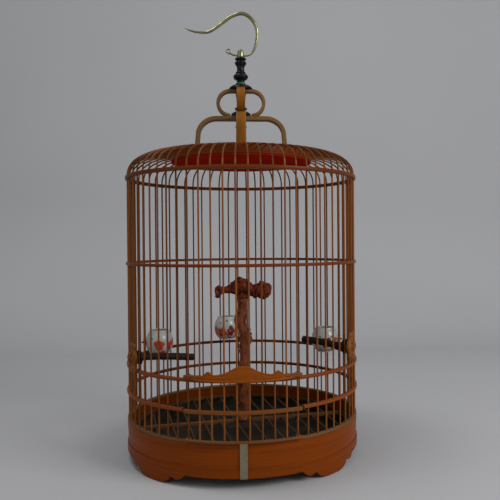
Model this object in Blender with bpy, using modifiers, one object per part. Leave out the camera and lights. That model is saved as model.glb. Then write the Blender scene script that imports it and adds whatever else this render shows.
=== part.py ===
"""Bamboo bird cage with a round wall of bars, drilled hoops, a lifting door, perches, cups and a hook.

Everything is in metres with +Z up. The cage axis is the Z axis, and the feet stand on Z = 0.
The door faces -Y. Angles round the wall are counted from the front, positive towards +X.
"""

import math

import bmesh
import bpy
from mathutils import Matrix, Vector

# Fits between pieces
SEAT = 0.0003
BORE_SLACK = 0.0003
CUT_OVERRUN = 0.004
WELD = 0.000001

# Wall bars
WALL_RADIUS = 0.1773
BAR_RADIUS = 0.0015
BAR_COUNT = 66
BAR_STEP = math.tau / BAR_COUNT
DOME_RISE = 0.037
DOME_SEGMENTS = 4
WALL_BAR_ROUND_STEPS = 0
BANK_BAR_COUNTS = (8, 8, 9, 8, 9, 8, 8)
BANK_STRIP_WIDTH = 0.004
BANK_STRIP_HEIGHT = 0.0036
BANK_STRIP_REACH = BAR_STEP / 4

# Hoops threaded by the bars
HOOP_HEIGHT = 0.005
HOOP_OUTER_REACH = 0.0037
HOOP_INNER_REACH = 0.0033
SHOULDER_LEVEL = 0.429
WAIST_LEVEL = 0.298
DOOR_HEAD_LEVEL = 0.1445
LOW_LEVEL = 0.104

# Base drum with its feet
FOOT_HEIGHT = 0.0167
DRUM_HEIGHT = 0.043
DRUM_OUTER_REACH = 0.0027
DRUM_TAPER = 0.0013
DRUM_WALL = 0.0070
DRUM_LEDGE_WIDTH = 0.0070
DRUM_LEDGE_THICKNESS = 0.0040
RIM_THICKNESS = 0.0030
BAND_HEIGHT = 0.0110
BAND_THICKNESS = 0.0013
BAND_GAP = 0.0005
FOOT_PROUD = 0.0005
FOOT_COUNT = 4
FOOT_HALF_WIDTH = 0.0600
FOOT_OUTLINE_SHARES = (
    (1.00, 1.04),
    (0.93, 0.80),
    (0.85, 0.58),
    (0.76, 0.50),
    (0.70, 0.52),
    (0.64, 0.62),
    (0.58, 0.60),
    (0.52, 0.36),
    (0.42, 0.18),
    (0.30, 0.06),
    (0.22, 0.00),
)
RING_STEPS = 36

# Seam clip at the front of the drum
CLIP_WIDTH = 0.0103
CLIP_THICKNESS = 0.0005
CLIP_FOLD = 0.0070

# Floor inside the drum
TRAY_WALL_HEIGHT = 0.0190
TRAY_WALL = 0.0030
TRAY_FLOOR = 0.0020
GRID_RING_WIDTH = 0.0055
GRID_RING_HEIGHT = 0.0060
SLAT_PITCH = 0.0250
SLAT_WIDTH = 0.0026
SLAT_HEIGHT = 0.0026
CROSSBAR_WIDTH = 0.0070
CROSSBAR_HEIGHT = 0.0060
CROSSBAR_LIP = 0.0020
GRID_TURN = math.radians(11.0)

# Crown board, its red lining and the cover that clamps the bar ends
CROWN_RADIUS = 0.1113
BOARD_THICKNESS = 0.0100
LINING_THICKNESS = 0.0020
COVER_THICKNESS = 0.0012
CROWN_STEPS = 36

# Handle arches on the crown
ARCH_HALF_SPAN = 0.0730
ARCH_RISE = 0.0585
ARCH_CORNER = 0.0234
ARCH_THICKNESS = 0.0070
ARCH_WIDTH = 0.0150
ARCH_TENON = 0.0100
LOOP_OFFSET = 0.0169
LOOP_RADIUS = 0.0220
LOOP_DROP = 0.0196
LOOP_THICKNESS = 0.0052
LOOP_WIDTH = 0.0130
ARC_SEGMENTS = 5

# Turned stack on the tie rod
ROD_RADIUS = 0.0020
ROD_HEAD_RADIUS = 0.0042
ROD_HEAD_THICKNESS = 0.0025
ROD_SLACK = 0.0003
SWIVEL_HEAD_RADIUS = 0.0028
SWIVEL_HEAD_HEIGHT = 0.0028
TURNED_STEPS = 12
SPINDLE_RADIUS = 0.0080
LOWER_SPINDLE_SHARES = (
    (0.0, 1.00),
    (0.95, 1.00),
    (1.00, 0.93),
    (0.72, 0.87),
    (1.12, 0.80),
    (0.72, 0.73),
    (0.95, 0.60),
    (1.00, 0.30),
    (0.80, 0.12),
    (1.20, 0.06),
    (1.20, 0.00),
)
MIDDLE_SPINDLE_SHARES = (
    (0.0, 1.00),
    (0.95, 1.00),
    (1.00, 0.90),
    (0.85, 0.50),
    (0.80, 0.38),
    (1.22, 0.30),
    (0.85, 0.22),
    (1.30, 0.16),
    (1.95, 0.05),
    (1.95, 0.00),
)
DOME_CAP_RADIUS = 0.0188
DOME_CAP_HEIGHT = 0.0098
DOME_CAP_SHARES = ((0.0, 1.00), (0.34, 1.00), (0.62, 0.84), (0.86, 0.52), (1.00, 0.14), (0.98, 0.00))
WASHER_RADIUS = 0.0080
WASHER_THICKNESS = 0.0028
WASHER_SHARES = ((0.0, 1.00), (0.85, 1.00), (1.00, 0.50), (0.85, 0.00))
FINIAL_RADIUS = 0.0117
FINIAL_HEIGHT = 0.0395
FINIAL_SHARES = (
    (0.0, 1.00),
    (0.70, 1.00),
    (0.76, 0.93),
    (0.56, 0.87),
    (0.76, 0.80),
    (0.74, 0.73),
    (0.53, 0.64),
    (0.53, 0.46),
    (0.66, 0.40),
    (1.00, 0.27),
    (0.92, 0.16),
    (0.50, 0.08),
    (0.58, 0.00),
)
FINIAL_SOCKET_RADIUS = 0.0049
FINIAL_SOCKET_DEPTH = 0.0130

# Swivel post and hook
POST_STEM_RADIUS = 0.0045
POST_KNOB_RADIUS = 0.0053
POST_KNOB_HEIGHT = 0.0105
POST_LIP = 0.0034
POST_HOLE_RISE = 0.0025
POST_KNOB_SHARES = ((0.0, 1.00), (0.45, 0.97), (0.80, 0.82), (0.97, 0.55), (1.00, 0.10), (0.92, 0.00))
HOOK_HEIGHT = 0.0660
HOOK_RADIUS = 0.0030
HOOK_SMOOTH_STEPS = 2
HOOK_ROUND_STEPS = 1
HOOK_SHARES = (
    (-1.333, 0.636, 0.16),
    (-1.171, 0.573, 0.50),
    (-0.979, 0.544, 0.66),
    (-0.802, 0.548, 0.76),
    (-0.652, 0.612, 0.84),
    (-0.452, 0.758, 0.92),
    (-0.229, 0.921, 0.98),
    (-0.008, 1.000, 1.00),
    (0.145, 0.971, 1.00),
    (0.288, 0.859, 0.96),
    (0.377, 0.700, 0.90),
    (0.407, 0.536, 0.82),
    (0.383, 0.359, 0.74),
    (0.330, 0.185, 0.64),
    (0.250, 0.068, 0.54),
    (0.150, 0.006, 0.48),
    (0.000, 0.000, 0.46),
    (-0.150, 0.000, 0.44),
    (-0.250, 0.018, 0.42),
    (-0.330, 0.066, 0.40),
    (-0.352, 0.124, 0.40),
    (-0.318, 0.166, 0.40),
    (-0.268, 0.160, 0.40),
)

# Lifting door
DOOR_SIDE_BAR_COUNT = 4
DOOR_BAR_SETBACK = 0.0058
DOOR_RAIL_OUTER_REACH = 0.0028
DOOR_RAIL_INNER_REACH = 0.0014
DOOR_RAIL_HEIGHT = 0.0030
DOOR_MIDDLE_RAIL_HEIGHT = 0.0050
DOOR_HEAD_RAIL_HEIGHT = 0.0050
DOOR_EYE_WIDTH = 0.0105
DOOR_EYE_REACH = 0.0028
DOOR_EYE_RADIUS = 0.0022
DOOR_RAIL_END = 0.0028
DOOR_PLATE_THICKNESS = 0.0030
DOOR_PLATE_STEPS = 96
DOOR_PLATE_HALF_WIDTH = 0.0692
DOOR_PLATE_HEIGHT = 0.0220
DOOR_PLATE_SHARES = (
    (0.00, 0.00),
    (0.90, 0.00),
    (1.00, 0.12),
    (0.97, 0.24),
    (0.88, 0.33),
    (0.78, 0.45),
    (0.72, 0.62),
    (0.67, 0.73),
    (0.61, 0.68),
    (0.58, 0.56),
    (0.50, 0.54),
    (0.42, 0.62),
    (0.38, 0.83),
    (0.28, 0.93),
    (0.14, 0.98),
    (0.00, 1.00),
)

# Cups on the wall
CUP_RADIUS = 0.0225
CUP_HEIGHT = 0.0410
CUP_STEPS = 16
CUP_OUTER_SHARES = ((0.92, 1.00), (1.00, 0.62), (1.00, 0.36), (0.86, 0.14), (0.64, 0.00))
CUP_INNER_SHARES = ((0.00, 0.10), (0.66, 0.16), (0.88, 0.40), (0.88, 0.62), (0.82, 1.00))
CUP_BELLY_INDEX = 2
CUP_LUG_WIDTH = 0.0080
CUP_LUG_HEIGHT = 0.0090
CUP_LUG_LEVEL = 0.0200
CUP_LUG_END = 0.0072
CUP_PIN_LENGTH = 0.0260
CUP_LOW_LEVEL = 0.1421
CUP_REAR_LEVEL = 0.1534
CUPS = (
    ("left", -21 * BAR_STEP, CUP_LOW_LEVEL),
    ("right", 21 * BAR_STEP, CUP_LOW_LEVEL),
    ("rear", -31 * BAR_STEP, CUP_REAR_LEVEL),
)

# Perches on the wall
PERCH_RADIUS = 0.0053
PERCH_STEM_RADIUS = 0.0032
PERCH_COLLAR_RADIUS = 0.0105
PERCH_COLLAR_THICKNESS = 0.0038
PERCH_SHOULDER_EASE = 0.0002
PERCH_STRAIGHT = 0.0100
PERCH_BOW = 0.0020
PERCH_TIP_RADIUS = 0.0046
KNOB_HALF_WIDTH = 0.0135
KNOB_HALF_HEIGHT = 0.0205
KNOB_LOBE_SHARE = 0.10
KNOB_LOBE_COUNT = 6
KNOB_POINT_COUNT = 24
KNOB_THICKNESS = 0.0075
KNOB_STEM_SHORT = 0.0010
PERCH_LEFT_LEVEL = 0.1632
PERCH_LEFT_TIP = (-0.0722, -0.0594, 0.1565)
PERCH_RIGHT_LEVEL = 0.1746
PERCH_RIGHT_TIP = (0.0907, -0.0360, 0.1776)
PERCHES = (
    ("left", -11 * BAR_STEP, PERCH_LEFT_LEVEL, PERCH_LEFT_TIP),
    ("right", 11 * BAR_STEP, PERCH_RIGHT_LEVEL, PERCH_RIGHT_TIP),
)

# Root-wood stand in the middle of the floor
STAND_HEIGHT = 0.1920
STAND_RADIUS = 0.0090
STAND_SHARES = (
    (0.0, 0.0, 0.000, 1.45),
    (0.0, 0.0, 0.030, 1.30),
    (0.2, 0.0, 0.075, 0.95),
    (0.1, 0.1, 0.200, 1.00),
    (-0.2, 0.0, 0.320, 0.92),
    (0.3, -0.1, 0.430, 1.28),
    (0.1, 0.0, 0.500, 0.95),
    (-0.4, 0.1, 0.580, 1.32),
    (-0.1, 0.0, 0.680, 0.90),
    (0.1, 0.1, 0.830, 0.88),
    (0.0, 0.0, 0.930, 1.05),
    (0.0, 0.0, 1.000, 1.15),
)
PEG_RADIUS = 0.0015
PEG_SOCKET_DEPTH = 0.0120
HEAD_HALF_LENGTH = 0.0455
HEAD_RADIUS = 0.0112
HEAD_SHARES = (
    (-1.00, 0.05, 0.25, 0.42),
    (-0.90, 0.06, 0.32, 0.78),
    (-0.78, 0.04, 0.20, 0.58),
    (-0.58, 0.00, 0.10, 0.62),
    (-0.40, 0.05, 0.30, 0.92),
    (-0.15, 0.10, 0.50, 1.25),
    (0.10, 0.05, 0.35, 1.05),
    (0.35, 0.00, 0.10, 0.92),
    (0.60, -0.10, 0.25, 1.22),
    (0.85, 0.00, 0.30, 1.05),
    (1.00, 0.05, 0.20, 0.55),
)
HEAD_TENON = 0.0100
TENON_RADIUS = 0.0040

# Levels and radii that follow from the sizes above
DRUM_BOTTOM = FOOT_HEIGHT + SEAT
DRUM_TOP = DRUM_BOTTOM + DRUM_HEIGHT
RIM_BOTTOM = DRUM_TOP + SEAT
RIM_TOP = RIM_BOTTOM + RIM_THICKNESS
DRUM_RADIUS = WALL_RADIUS + DRUM_OUTER_REACH
DRUM_INNER = DRUM_RADIUS - DRUM_WALL
DRUM_FOOT_RADIUS = DRUM_RADIUS - DRUM_TAPER
BAND_INNER = DRUM_FOOT_RADIUS + BAND_GAP
BAND_OUTER = BAND_INNER + BAND_THICKNESS
WALL_INNER = WALL_RADIUS - BAR_RADIUS
WALL_OUTER = WALL_RADIUS + BAR_RADIUS
HOOP_OUTER = WALL_RADIUS + HOOP_OUTER_REACH
HOOP_INNER = WALL_RADIUS - HOOP_INNER_REACH
HOLE_HALF = BAR_RADIUS + BORE_SLACK
DOME_START = SHOULDER_LEVEL + HOOP_HEIGHT / 2 + SEAT
BAR_HEAD_LEVEL = DOME_START + DOME_RISE
BAR_HEAD_RADIUS = CROWN_RADIUS - BANK_STRIP_WIDTH
GROOVE_HALF = BANK_STRIP_HEIGHT / 2 + SEAT
GROOVE_INNER = BAR_HEAD_RADIUS - BANK_STRIP_WIDTH
BOARD_TOP = BAR_HEAD_LEVEL - GROOVE_HALF
BOARD_BOTTOM = BOARD_TOP - BOARD_THICKNESS
LINING_TOP = BOARD_BOTTOM - SEAT
LINING_BOTTOM = LINING_TOP - LINING_THICKNESS
COVER_BOTTOM = BAR_HEAD_LEVEL + GROOVE_HALF
COVER_TOP = COVER_BOTTOM + COVER_THICKNESS
BOARD_BOSS_TOP = COVER_BOTTOM - SEAT
ARCH_FOOT = COVER_TOP - ARCH_TENON
ARCH_TOP = COVER_TOP + ARCH_RISE
LOOP_FOOT = ARCH_TOP + SEAT
LOOP_CENTRE = LOOP_FOOT + LOOP_DROP
LOOP_TOP = LOOP_CENTRE + LOOP_RADIUS
ROD_BORE = ROD_RADIUS + ROD_SLACK
DOME_CAP_BOTTOM = LOOP_TOP + SEAT
WASHER_BOTTOM = DOME_CAP_BOTTOM + DOME_CAP_HEIGHT + SEAT
FINIAL_BOTTOM = WASHER_BOTTOM + WASHER_THICKNESS + SEAT
FINIAL_TOP = FINIAL_BOTTOM + FINIAL_HEIGHT
SOCKET_BOTTOM = FINIAL_TOP - FINIAL_SOCKET_DEPTH
POST_BOTTOM = SOCKET_BOTTOM + SEAT
POST_KNOB_BOTTOM = FINIAL_TOP + SEAT
SWIVEL_HEAD_BOTTOM = POST_BOTTOM + POST_LIP + SEAT
SWIVEL_HEAD_TOP = SWIVEL_HEAD_BOTTOM + SWIVEL_HEAD_HEIGHT
HOOK_LEVEL = POST_KNOB_BOTTOM + POST_HOLE_RISE
TRAY_BOTTOM = DRUM_BOTTOM + DRUM_LEDGE_THICKNESS + SEAT
TRAY_RADIUS = DRUM_INNER - SEAT
GRID_BOTTOM = TRAY_BOTTOM + TRAY_WALL_HEIGHT + SEAT
GRID_OUTER = DRUM_INNER - SEAT
GRID_INNER = GRID_OUTER - GRID_RING_WIDTH
SLATS_EACH_SIDE = round(GRID_INNER / SLAT_PITCH)
SLAT_LEVEL = GRID_BOTTOM + GRID_RING_HEIGHT / 2
CROSSBAR_BOTTOM = GRID_BOTTOM + SEAT
CROSSBAR_TOP = CROSSBAR_BOTTOM + CROSSBAR_HEIGHT
DOOR_BAR_RADIUS = WALL_RADIUS + DOOR_BAR_SETBACK
DOOR_RAIL_OUTER = DOOR_BAR_RADIUS + DOOR_RAIL_OUTER_REACH
DOOR_RAIL_INNER = DOOR_BAR_RADIUS - DOOR_RAIL_INNER_REACH
DOOR_EYE_INNER = WALL_RADIUS - DOOR_EYE_REACH
DOOR_RAIL_BOTTOM = RIM_TOP + SEAT
DOOR_HEAD_RAIL_BOTTOM = DOOR_HEAD_LEVEL + HOOP_HEIGHT / 2 + SEAT
DOOR_PLATE_INNER = DOOR_RAIL_OUTER + SEAT
GUIDE_ANGLE = (DOOR_SIDE_BAR_COUNT + 0.5) * BAR_STEP
STAND_BOTTOM = CROSSBAR_TOP + SEAT
STAND_TOP = STAND_BOTTOM + STAND_HEIGHT

PIECES = bpy.data.collections.new("bamboo_bird_cage")
CUTTERS = bpy.data.collections.new("cutters")


def material(name, colour, roughness, metallic=0.0):
    """A plain finish for one sub-part."""
    made = bpy.data.materials.new(name)
    made.use_nodes = True
    shader = made.node_tree.nodes["Principled BSDF"]
    shader.inputs["Base Color"].default_value = (*colour, 1.0)
    shader.inputs["Roughness"].default_value = roughness
    shader.inputs["Metallic"].default_value = metallic
    return made


def keep(obj, finish):
    """Puts a finished piece among the pieces, with its material."""
    PIECES.objects.link(obj)
    obj.data.materials.clear()
    obj.data.materials.append(finish)
    return obj


def helper(obj):
    """Puts a shape that only cuts or joins among the cutters."""
    CUTTERS.objects.link(obj)
    obj.hide_render = True
    obj.display_type = "WIRE"
    return obj


def around(angle, radius, height=0.0):
    """The point at this angle from the front, this far from the cage axis."""
    return Vector((radius * math.sin(angle), -radius * math.cos(angle), height))


def heading(angle):
    """The turn about Z that points local +X out of the wall at this angle."""
    return angle - math.pi / 2


def scaled(shares, width, height):
    """An outline or profile written as shares, in real sizes."""
    return [(x_share * width, y_share * height) for x_share, y_share in shares]


def arc(centre, radius, start, end, segments=ARC_SEGMENTS):
    """Points of an arc in a plane, both ends included."""
    turns = [start + (end - start) * i / segments for i in range(segments + 1)]
    return [(centre[0] + radius * math.cos(t), centre[1] + radius * math.sin(t)) for t in turns]


def wall_arc(radius, start, end, segments):
    """Points of an arc round the cage axis, both ends included."""
    angles = [start + (end - start) * i / segments for i in range(segments + 1)]
    return [tuple(around(angle, radius).xy) for angle in angles]


def smooth_points(points, steps):
    """More points on a smooth curve that passes through every given point."""
    ends = [points[0], *points, points[-1]]
    made = []
    for a, b, c, d in zip(ends, ends[1:], ends[2:], ends[3:]):
        for i in range(steps):
            t = i / steps
            pull = ((-t + 2 * t**2 - t**3) / 2, (2 - 5 * t**2 + 3 * t**3) / 2)
            push = ((t + 4 * t**2 - 3 * t**3) / 2, (t**3 - t**2) / 2)
            weights = (*pull, *push)
            mixed = [tuple(w * x for x in p) for w, p in zip(weights, (a, b, c, d))]
            made.append(tuple(sum(values) for values in zip(*mixed)))
    return [*made, tuple(points[-1])]


def new_curve(name, dimensions):
    curve = bpy.data.curves.new(name, "CURVE")
    curve.dimensions = dimensions
    return curve


def add_spline(curve, points, cyclic):
    spline = curve.splines.new("POLY")
    spline.points.add(len(points) - 1)
    for target, point in zip(spline.points, points):
        target.co = (*point[:3], *(0.0,) * (3 - len(point)), 1.0)
    spline.use_cyclic_u = cyclic
    return spline


def plate(name, loops, thickness, bottom=0.0):
    """A flat piece: its outline and holes, filled and given a thickness upwards from the bottom level."""
    curve = new_curve(name, "2D")
    curve.fill_mode = "BOTH"
    curve.extrude = thickness / 2
    for loop in loops:
        add_spline(curve, loop, True)
    obj = bpy.data.objects.new(name, curve)
    obj.location.z = bottom + thickness / 2
    return obj


def upright(obj, angle):
    """Stands a flat piece up in the vertical plane through the cage axis, turned by the angle."""
    obj.location.z = 0.0
    obj.rotation_euler = (math.pi / 2, 0.0, angle)
    return obj


def tube(name, runs, radius, roundness=1):
    """Round bars or wires with closed ends. A point's fourth value is its radius as a share."""
    curve = new_curve(name, "3D")
    curve.bevel_depth = radius
    curve.bevel_resolution = roundness
    curve.use_fill_caps = True
    for points in runs:
        spline = add_spline(curve, points, False)
        for target, point in zip(spline.points, points):
            target.radius = point[3] if len(point) > 3 else 1.0
    return bpy.data.objects.new(name, curve)


def as_mesh(obj):
    """The same piece as a welded mesh, which can be cut and joined."""
    bpy.context.scene.collection.objects.link(obj)
    bpy.context.view_layer.update()
    evaluated = obj.evaluated_get(bpy.context.evaluated_depsgraph_get())
    mesh = bpy.data.meshes.new_from_object(evaluated)
    name = obj.name
    matrix = obj.matrix_world.copy()
    bpy.data.objects.remove(obj)
    shape = bmesh.new()
    shape.from_mesh(mesh)
    bmesh.ops.remove_doubles(shape, verts=shape.verts, dist=WELD)
    shape.to_mesh(mesh)
    shape.free()
    made = bpy.data.objects.new(name, mesh)
    made.matrix_world = matrix
    return made


def turned(name, profile, bottom, steps=TURNED_STEPS, closed=False):
    """A lathe-turned piece: the profile runs down its outer side, and back up a bore where it is closed."""
    mesh = bpy.data.meshes.new(name)
    count = len(profile)
    edges = [(i, i + 1) for i in range(count - 1)]
    if closed:
        edges.append((count - 1, 0))
    mesh.from_pydata([(radius, 0.0, height) for radius, height in profile], edges, [])
    obj = bpy.data.objects.new(name, mesh)
    obj.location.z = bottom
    screw = obj.modifiers.new("turn", "SCREW")
    screw.steps = steps
    screw.render_steps = steps
    screw.use_merge_vertices = True
    screw.merge_threshold = WELD
    screw.use_smooth_shade = True
    return obj


def bored(name, shares, radius, height, bottom):
    """A turned piece with a bore for the tie rod: the shares start on the axis at its top."""
    profile = scaled(shares, radius, height)
    profile[0] = (ROD_BORE, height)
    profile.append((ROD_BORE, 0.0))
    return turned(name, profile, bottom, closed=True)


def box(name, size, centre=(0.0, 0.0, 0.0), turn=0.0):
    """A box with its size in the mesh, turned about Z after it is moved."""
    mesh = bpy.data.meshes.new(name)
    shape = bmesh.new()
    bmesh.ops.create_cube(shape, size=1.0)
    bmesh.ops.scale(shape, vec=size, verts=shape.verts)
    bmesh.ops.translate(shape, vec=centre, verts=shape.verts)
    bmesh.ops.rotate(shape, cent=(0.0, 0.0, 0.0), matrix=Matrix.Rotation(turn, 3, "Z"), verts=shape.verts)
    shape.to_mesh(mesh)
    shape.free()
    return bpy.data.objects.new(name, mesh)


def rod(name, radius, length, matrix, steps=TURNED_STEPS):
    """A cylinder along the matrix's Z axis, centred on its origin."""
    mesh = bpy.data.meshes.new(name)
    shape = bmesh.new()
    bmesh.ops.create_cone(
        shape, cap_ends=True, segments=steps, radius1=radius, radius2=radius, depth=length, matrix=matrix
    )
    shape.to_mesh(mesh)
    shape.free()
    return bpy.data.objects.new(name, mesh)


def joined(name, objects):
    """Separate shapes as one mesh, for use as one cutter."""
    mesh = bpy.data.meshes.new(name)
    shape = bmesh.new()
    for obj in objects:
        start = len(shape.verts)
        shape.from_mesh(obj.data)
        shape.verts.ensure_lookup_table()
        bmesh.ops.transform(shape, matrix=obj.matrix_basis, verts=shape.verts[start:])
        bpy.data.objects.remove(obj)
    shape.to_mesh(mesh)
    shape.free()
    return bpy.data.objects.new(name, mesh)


def combine(obj, other, operation):
    """Cuts, joins or intersects a piece with another shape."""
    if other.name not in CUTTERS.objects:
        helper(other)
    step = obj.modifiers.new(operation.lower(), "BOOLEAN")
    step.operation = operation
    step.solver = "EXACT"
    step.object = other
    return obj


def smooth(obj):
    """Shades a round piece smooth and keeps its corners sharp."""
    obj.data.shade_smooth()
    obj.data.set_sharp_from_angle(angle=math.radians(40.0))
    return obj


def square_hole(angle, radius, half):
    """A square hole for a bar at this place in the wall, in line with the radius."""
    centre = around(angle, radius).xy
    outward = around(angle, half).xy
    across = Vector((-outward.y, outward.x))
    signs = ((1, 1), (1, -1), (-1, -1), (-1, 1))
    return [tuple(centre + a * outward + b * across) for a, b in signs]


def eye_hole(angle, radius, hole_radius):
    """A round hole for a guide bar."""
    centre = around(angle, radius).xy
    return arc(centre, hole_radius, 0.0, math.tau * 7 / 8, 7)


def bar_angle(index):
    """The place of one wall bar: the front is midway between two bars."""
    return (index + 0.5) * BAR_STEP


def closed_ring(radius):
    """A circle round the cage axis, with the same corners as the turned rings."""
    return wall_arc(radius, math.pi / 2, math.pi / 2 + math.tau * (1 - 1 / RING_STEPS), RING_STEPS - 1)


# Bars stand in every place round the wall. The door takes the places from DOOR_FIRST to DOOR_LAST.
DOOR_FIRST = -DOOR_SIDE_BAR_COUNT
DOOR_LAST = DOOR_SIDE_BAR_COUNT - 1
FULL_BARS = range(DOOR_LAST + 1, BAR_COUNT + DOOR_FIRST)
DOOR_BARS = range(DOOR_FIRST, DOOR_LAST + 1)


def hoop(name, level, finish):
    """A whole hoop with a hole for every bar."""
    holes = [square_hole(bar_angle(i), WALL_RADIUS, HOLE_HALF) for i in range(BAR_COUNT)]
    loops = [closed_ring(HOOP_OUTER), closed_ring(HOOP_INNER), *holes]
    return keep(plate(name, loops, HOOP_HEIGHT, level - HOOP_HEIGHT / 2), finish)


def open_hoop(name, level, finish):
    """A hoop that stops either side of the door, so that the door's eyes pass its ends."""
    start = GUIDE_ANGLE + BAR_STEP / 2
    end = math.tau - start
    count = round(RING_STEPS * (end - start) / math.tau)
    outline = wall_arc(HOOP_OUTER, start, end, count) + wall_arc(HOOP_INNER, end, start, count)
    holes = [square_hole(bar_angle(i), WALL_RADIUS, HOLE_HALF) for i in FULL_BARS[1:-1]]
    return keep(plate(name, [outline, *holes], HOOP_HEIGHT, level - HOOP_HEIGHT / 2), finish)


def bar_points(angle, foot):
    """One bar from its foot up the wall and over the shoulder into the crown."""
    points = [around(angle, WALL_RADIUS, foot)]
    span = WALL_RADIUS - BAR_HEAD_RADIUS
    for i in range(DOME_SEGMENTS + 1):
        turn = math.pi / 2 * i / DOME_SEGMENTS
        reach = BAR_HEAD_RADIUS + span * math.cos(turn)
        points.append(around(angle, reach, DOME_START + DOME_RISE * math.sin(turn)))
    return points


def bar_bank(name, places, foot, finish):
    """Neighbouring bars, held together by the strip that lies hidden in the crown's groove."""
    runs = [bar_points(bar_angle(i), foot) for i in places]
    bars = as_mesh(tube(name, runs, BAR_RADIUS, WALL_BAR_ROUND_STEPS))
    start = bar_angle(places[0]) - BANK_STRIP_REACH
    end = bar_angle(places[-1]) + BANK_STRIP_REACH
    inner = BAR_HEAD_RADIUS - BANK_STRIP_WIDTH / 2
    outer = BAR_HEAD_RADIUS + BANK_STRIP_WIDTH / 2
    segments = len(places) // 2
    outline = wall_arc(outer, start, end, segments) + wall_arc(inner, end, start, segments)
    strip = plate(name + "_strip", [outline], BANK_STRIP_HEIGHT, BAR_HEAD_LEVEL - BANK_STRIP_HEIGHT / 2)
    combine(bars, as_mesh(strip), "UNION")
    smooth(bars)
    return keep(bars, finish)


def wall(finish):
    place = FULL_BARS[0]
    for number, size in enumerate(BANK_BAR_COUNTS, 1):
        bar_bank(f"wall_bars_{number}", range(place, place + size), DRUM_TOP + SEAT, finish)
        place += size
    short_foot = DOOR_HEAD_LEVEL - HOOP_HEIGHT / 2 + SEAT
    bar_bank("wall_bars_over_door", DOOR_BARS, short_foot, finish)


def drum(finish):
    """The bent band of the base, with the ledge that the tray lies on."""
    ledge_inner = DRUM_INNER - DRUM_LEDGE_WIDTH
    profile = (
        (DRUM_RADIUS, DRUM_HEIGHT),
        (DRUM_FOOT_RADIUS, 0.0),
        (ledge_inner, 0.0),
        (ledge_inner, DRUM_LEDGE_THICKNESS),
        (DRUM_INNER, DRUM_LEDGE_THICKNESS),
        (DRUM_INNER, DRUM_HEIGHT),
    )
    keep(turned("base_drum", profile, DRUM_BOTTOM, RING_STEPS, closed=True), finish)


def rim(finish):
    """The pale ring on the drum, drilled for the feet of the bars."""
    holes = [square_hole(bar_angle(i), WALL_RADIUS, HOLE_HALF) for i in FULL_BARS]
    loops = [closed_ring(DRUM_RADIUS), closed_ring(DRUM_INNER), *holes]
    keep(plate("base_rim", loops, RIM_THICKNESS, RIM_BOTTOM), finish)


def foot_outlines():
    """The outline of a foot, mirrored about its middle, once for each foot."""
    half = scaled(FOOT_OUTLINE_SHARES, FOOT_HALF_WIDTH, FOOT_HEIGHT)
    outline = half + [(-x, y) for x, y in reversed(half)]
    for number in range(FOOT_COUNT):
        angle = math.tau * (number + 0.5) / FOOT_COUNT
        shape = plate(f"foot_outline_{number}", [outline], DRUM_WALL + 2 * FOOT_HALF_WIDTH)
        shape.rotation_euler = (math.pi / 2, 0.0, angle)
        shape.location = around(angle, DRUM_INNER)
        yield as_mesh(shape)


def feet(finish):
    """The band round the foot of the drum, carrying scrolled feet that reach under it."""
    foot_outer = BAND_OUTER + FOOT_PROUD
    blank_profile = (
        (foot_outer, FOOT_HEIGHT),
        (foot_outer, 0.0),
        (DRUM_INNER, 0.0),
        (DRUM_INNER, FOOT_HEIGHT),
    )
    blank = turned("foot_blank", blank_profile, 0.0, RING_STEPS, closed=True)
    combine(helper(blank), joined("foot_outlines", list(foot_outlines())), "INTERSECT")
    band_bottom = FOOT_HEIGHT - BAND_THICKNESS
    band_profile = (
        (BAND_OUTER, BAND_HEIGHT + DRUM_BOTTOM),
        (BAND_OUTER, band_bottom),
        (BAND_INNER, band_bottom),
        (BAND_INNER, BAND_HEIGHT + DRUM_BOTTOM),
    )
    band = turned("foot_ring", band_profile, 0.0, RING_STEPS, closed=True)
    combine(band, blank, "UNION")
    keep(band, finish)


def clip(finish):
    """The metal strip that closes the drum's seam, folded over the rim and under the band."""
    face = BAND_OUTER + SEAT
    outside = face + CLIP_THICKNESS
    top = RIM_TOP + SEAT
    bottom = FOOT_HEIGHT - BAND_THICKNESS - SEAT
    fold = face - CLIP_FOLD
    profile = (
        (fold, top),
        (fold, top + CLIP_THICKNESS),
        (outside, top + CLIP_THICKNESS),
        (outside, bottom - CLIP_THICKNESS),
        (fold, bottom - CLIP_THICKNESS),
        (fold, bottom),
        (face, bottom),
        (face, top),
    )
    strip = upright(plate("seam_clip", [profile], CLIP_WIDTH), heading(0.0))
    keep(strip, finish)


def tray(finish):
    """The droppings tray, lying on the drum's ledge."""
    inner = TRAY_RADIUS - TRAY_WALL
    profile = (
        (TRAY_RADIUS, TRAY_WALL_HEIGHT),
        (TRAY_RADIUS, 0.0),
        (0.0, 0.0),
    )
    inside = ((0.0, TRAY_FLOOR), (inner, TRAY_FLOOR), (inner, TRAY_WALL_HEIGHT))
    keep(turned("droppings_tray", (*profile, *inside), TRAY_BOTTOM, RING_STEPS, closed=True), finish)


def slat_places():
    """The distance of each floor slat from the cage axis."""
    return [(i + 0.5) * SLAT_PITCH for i in range(-SLATS_EACH_SIDE, SLATS_EACH_SIDE)]


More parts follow.
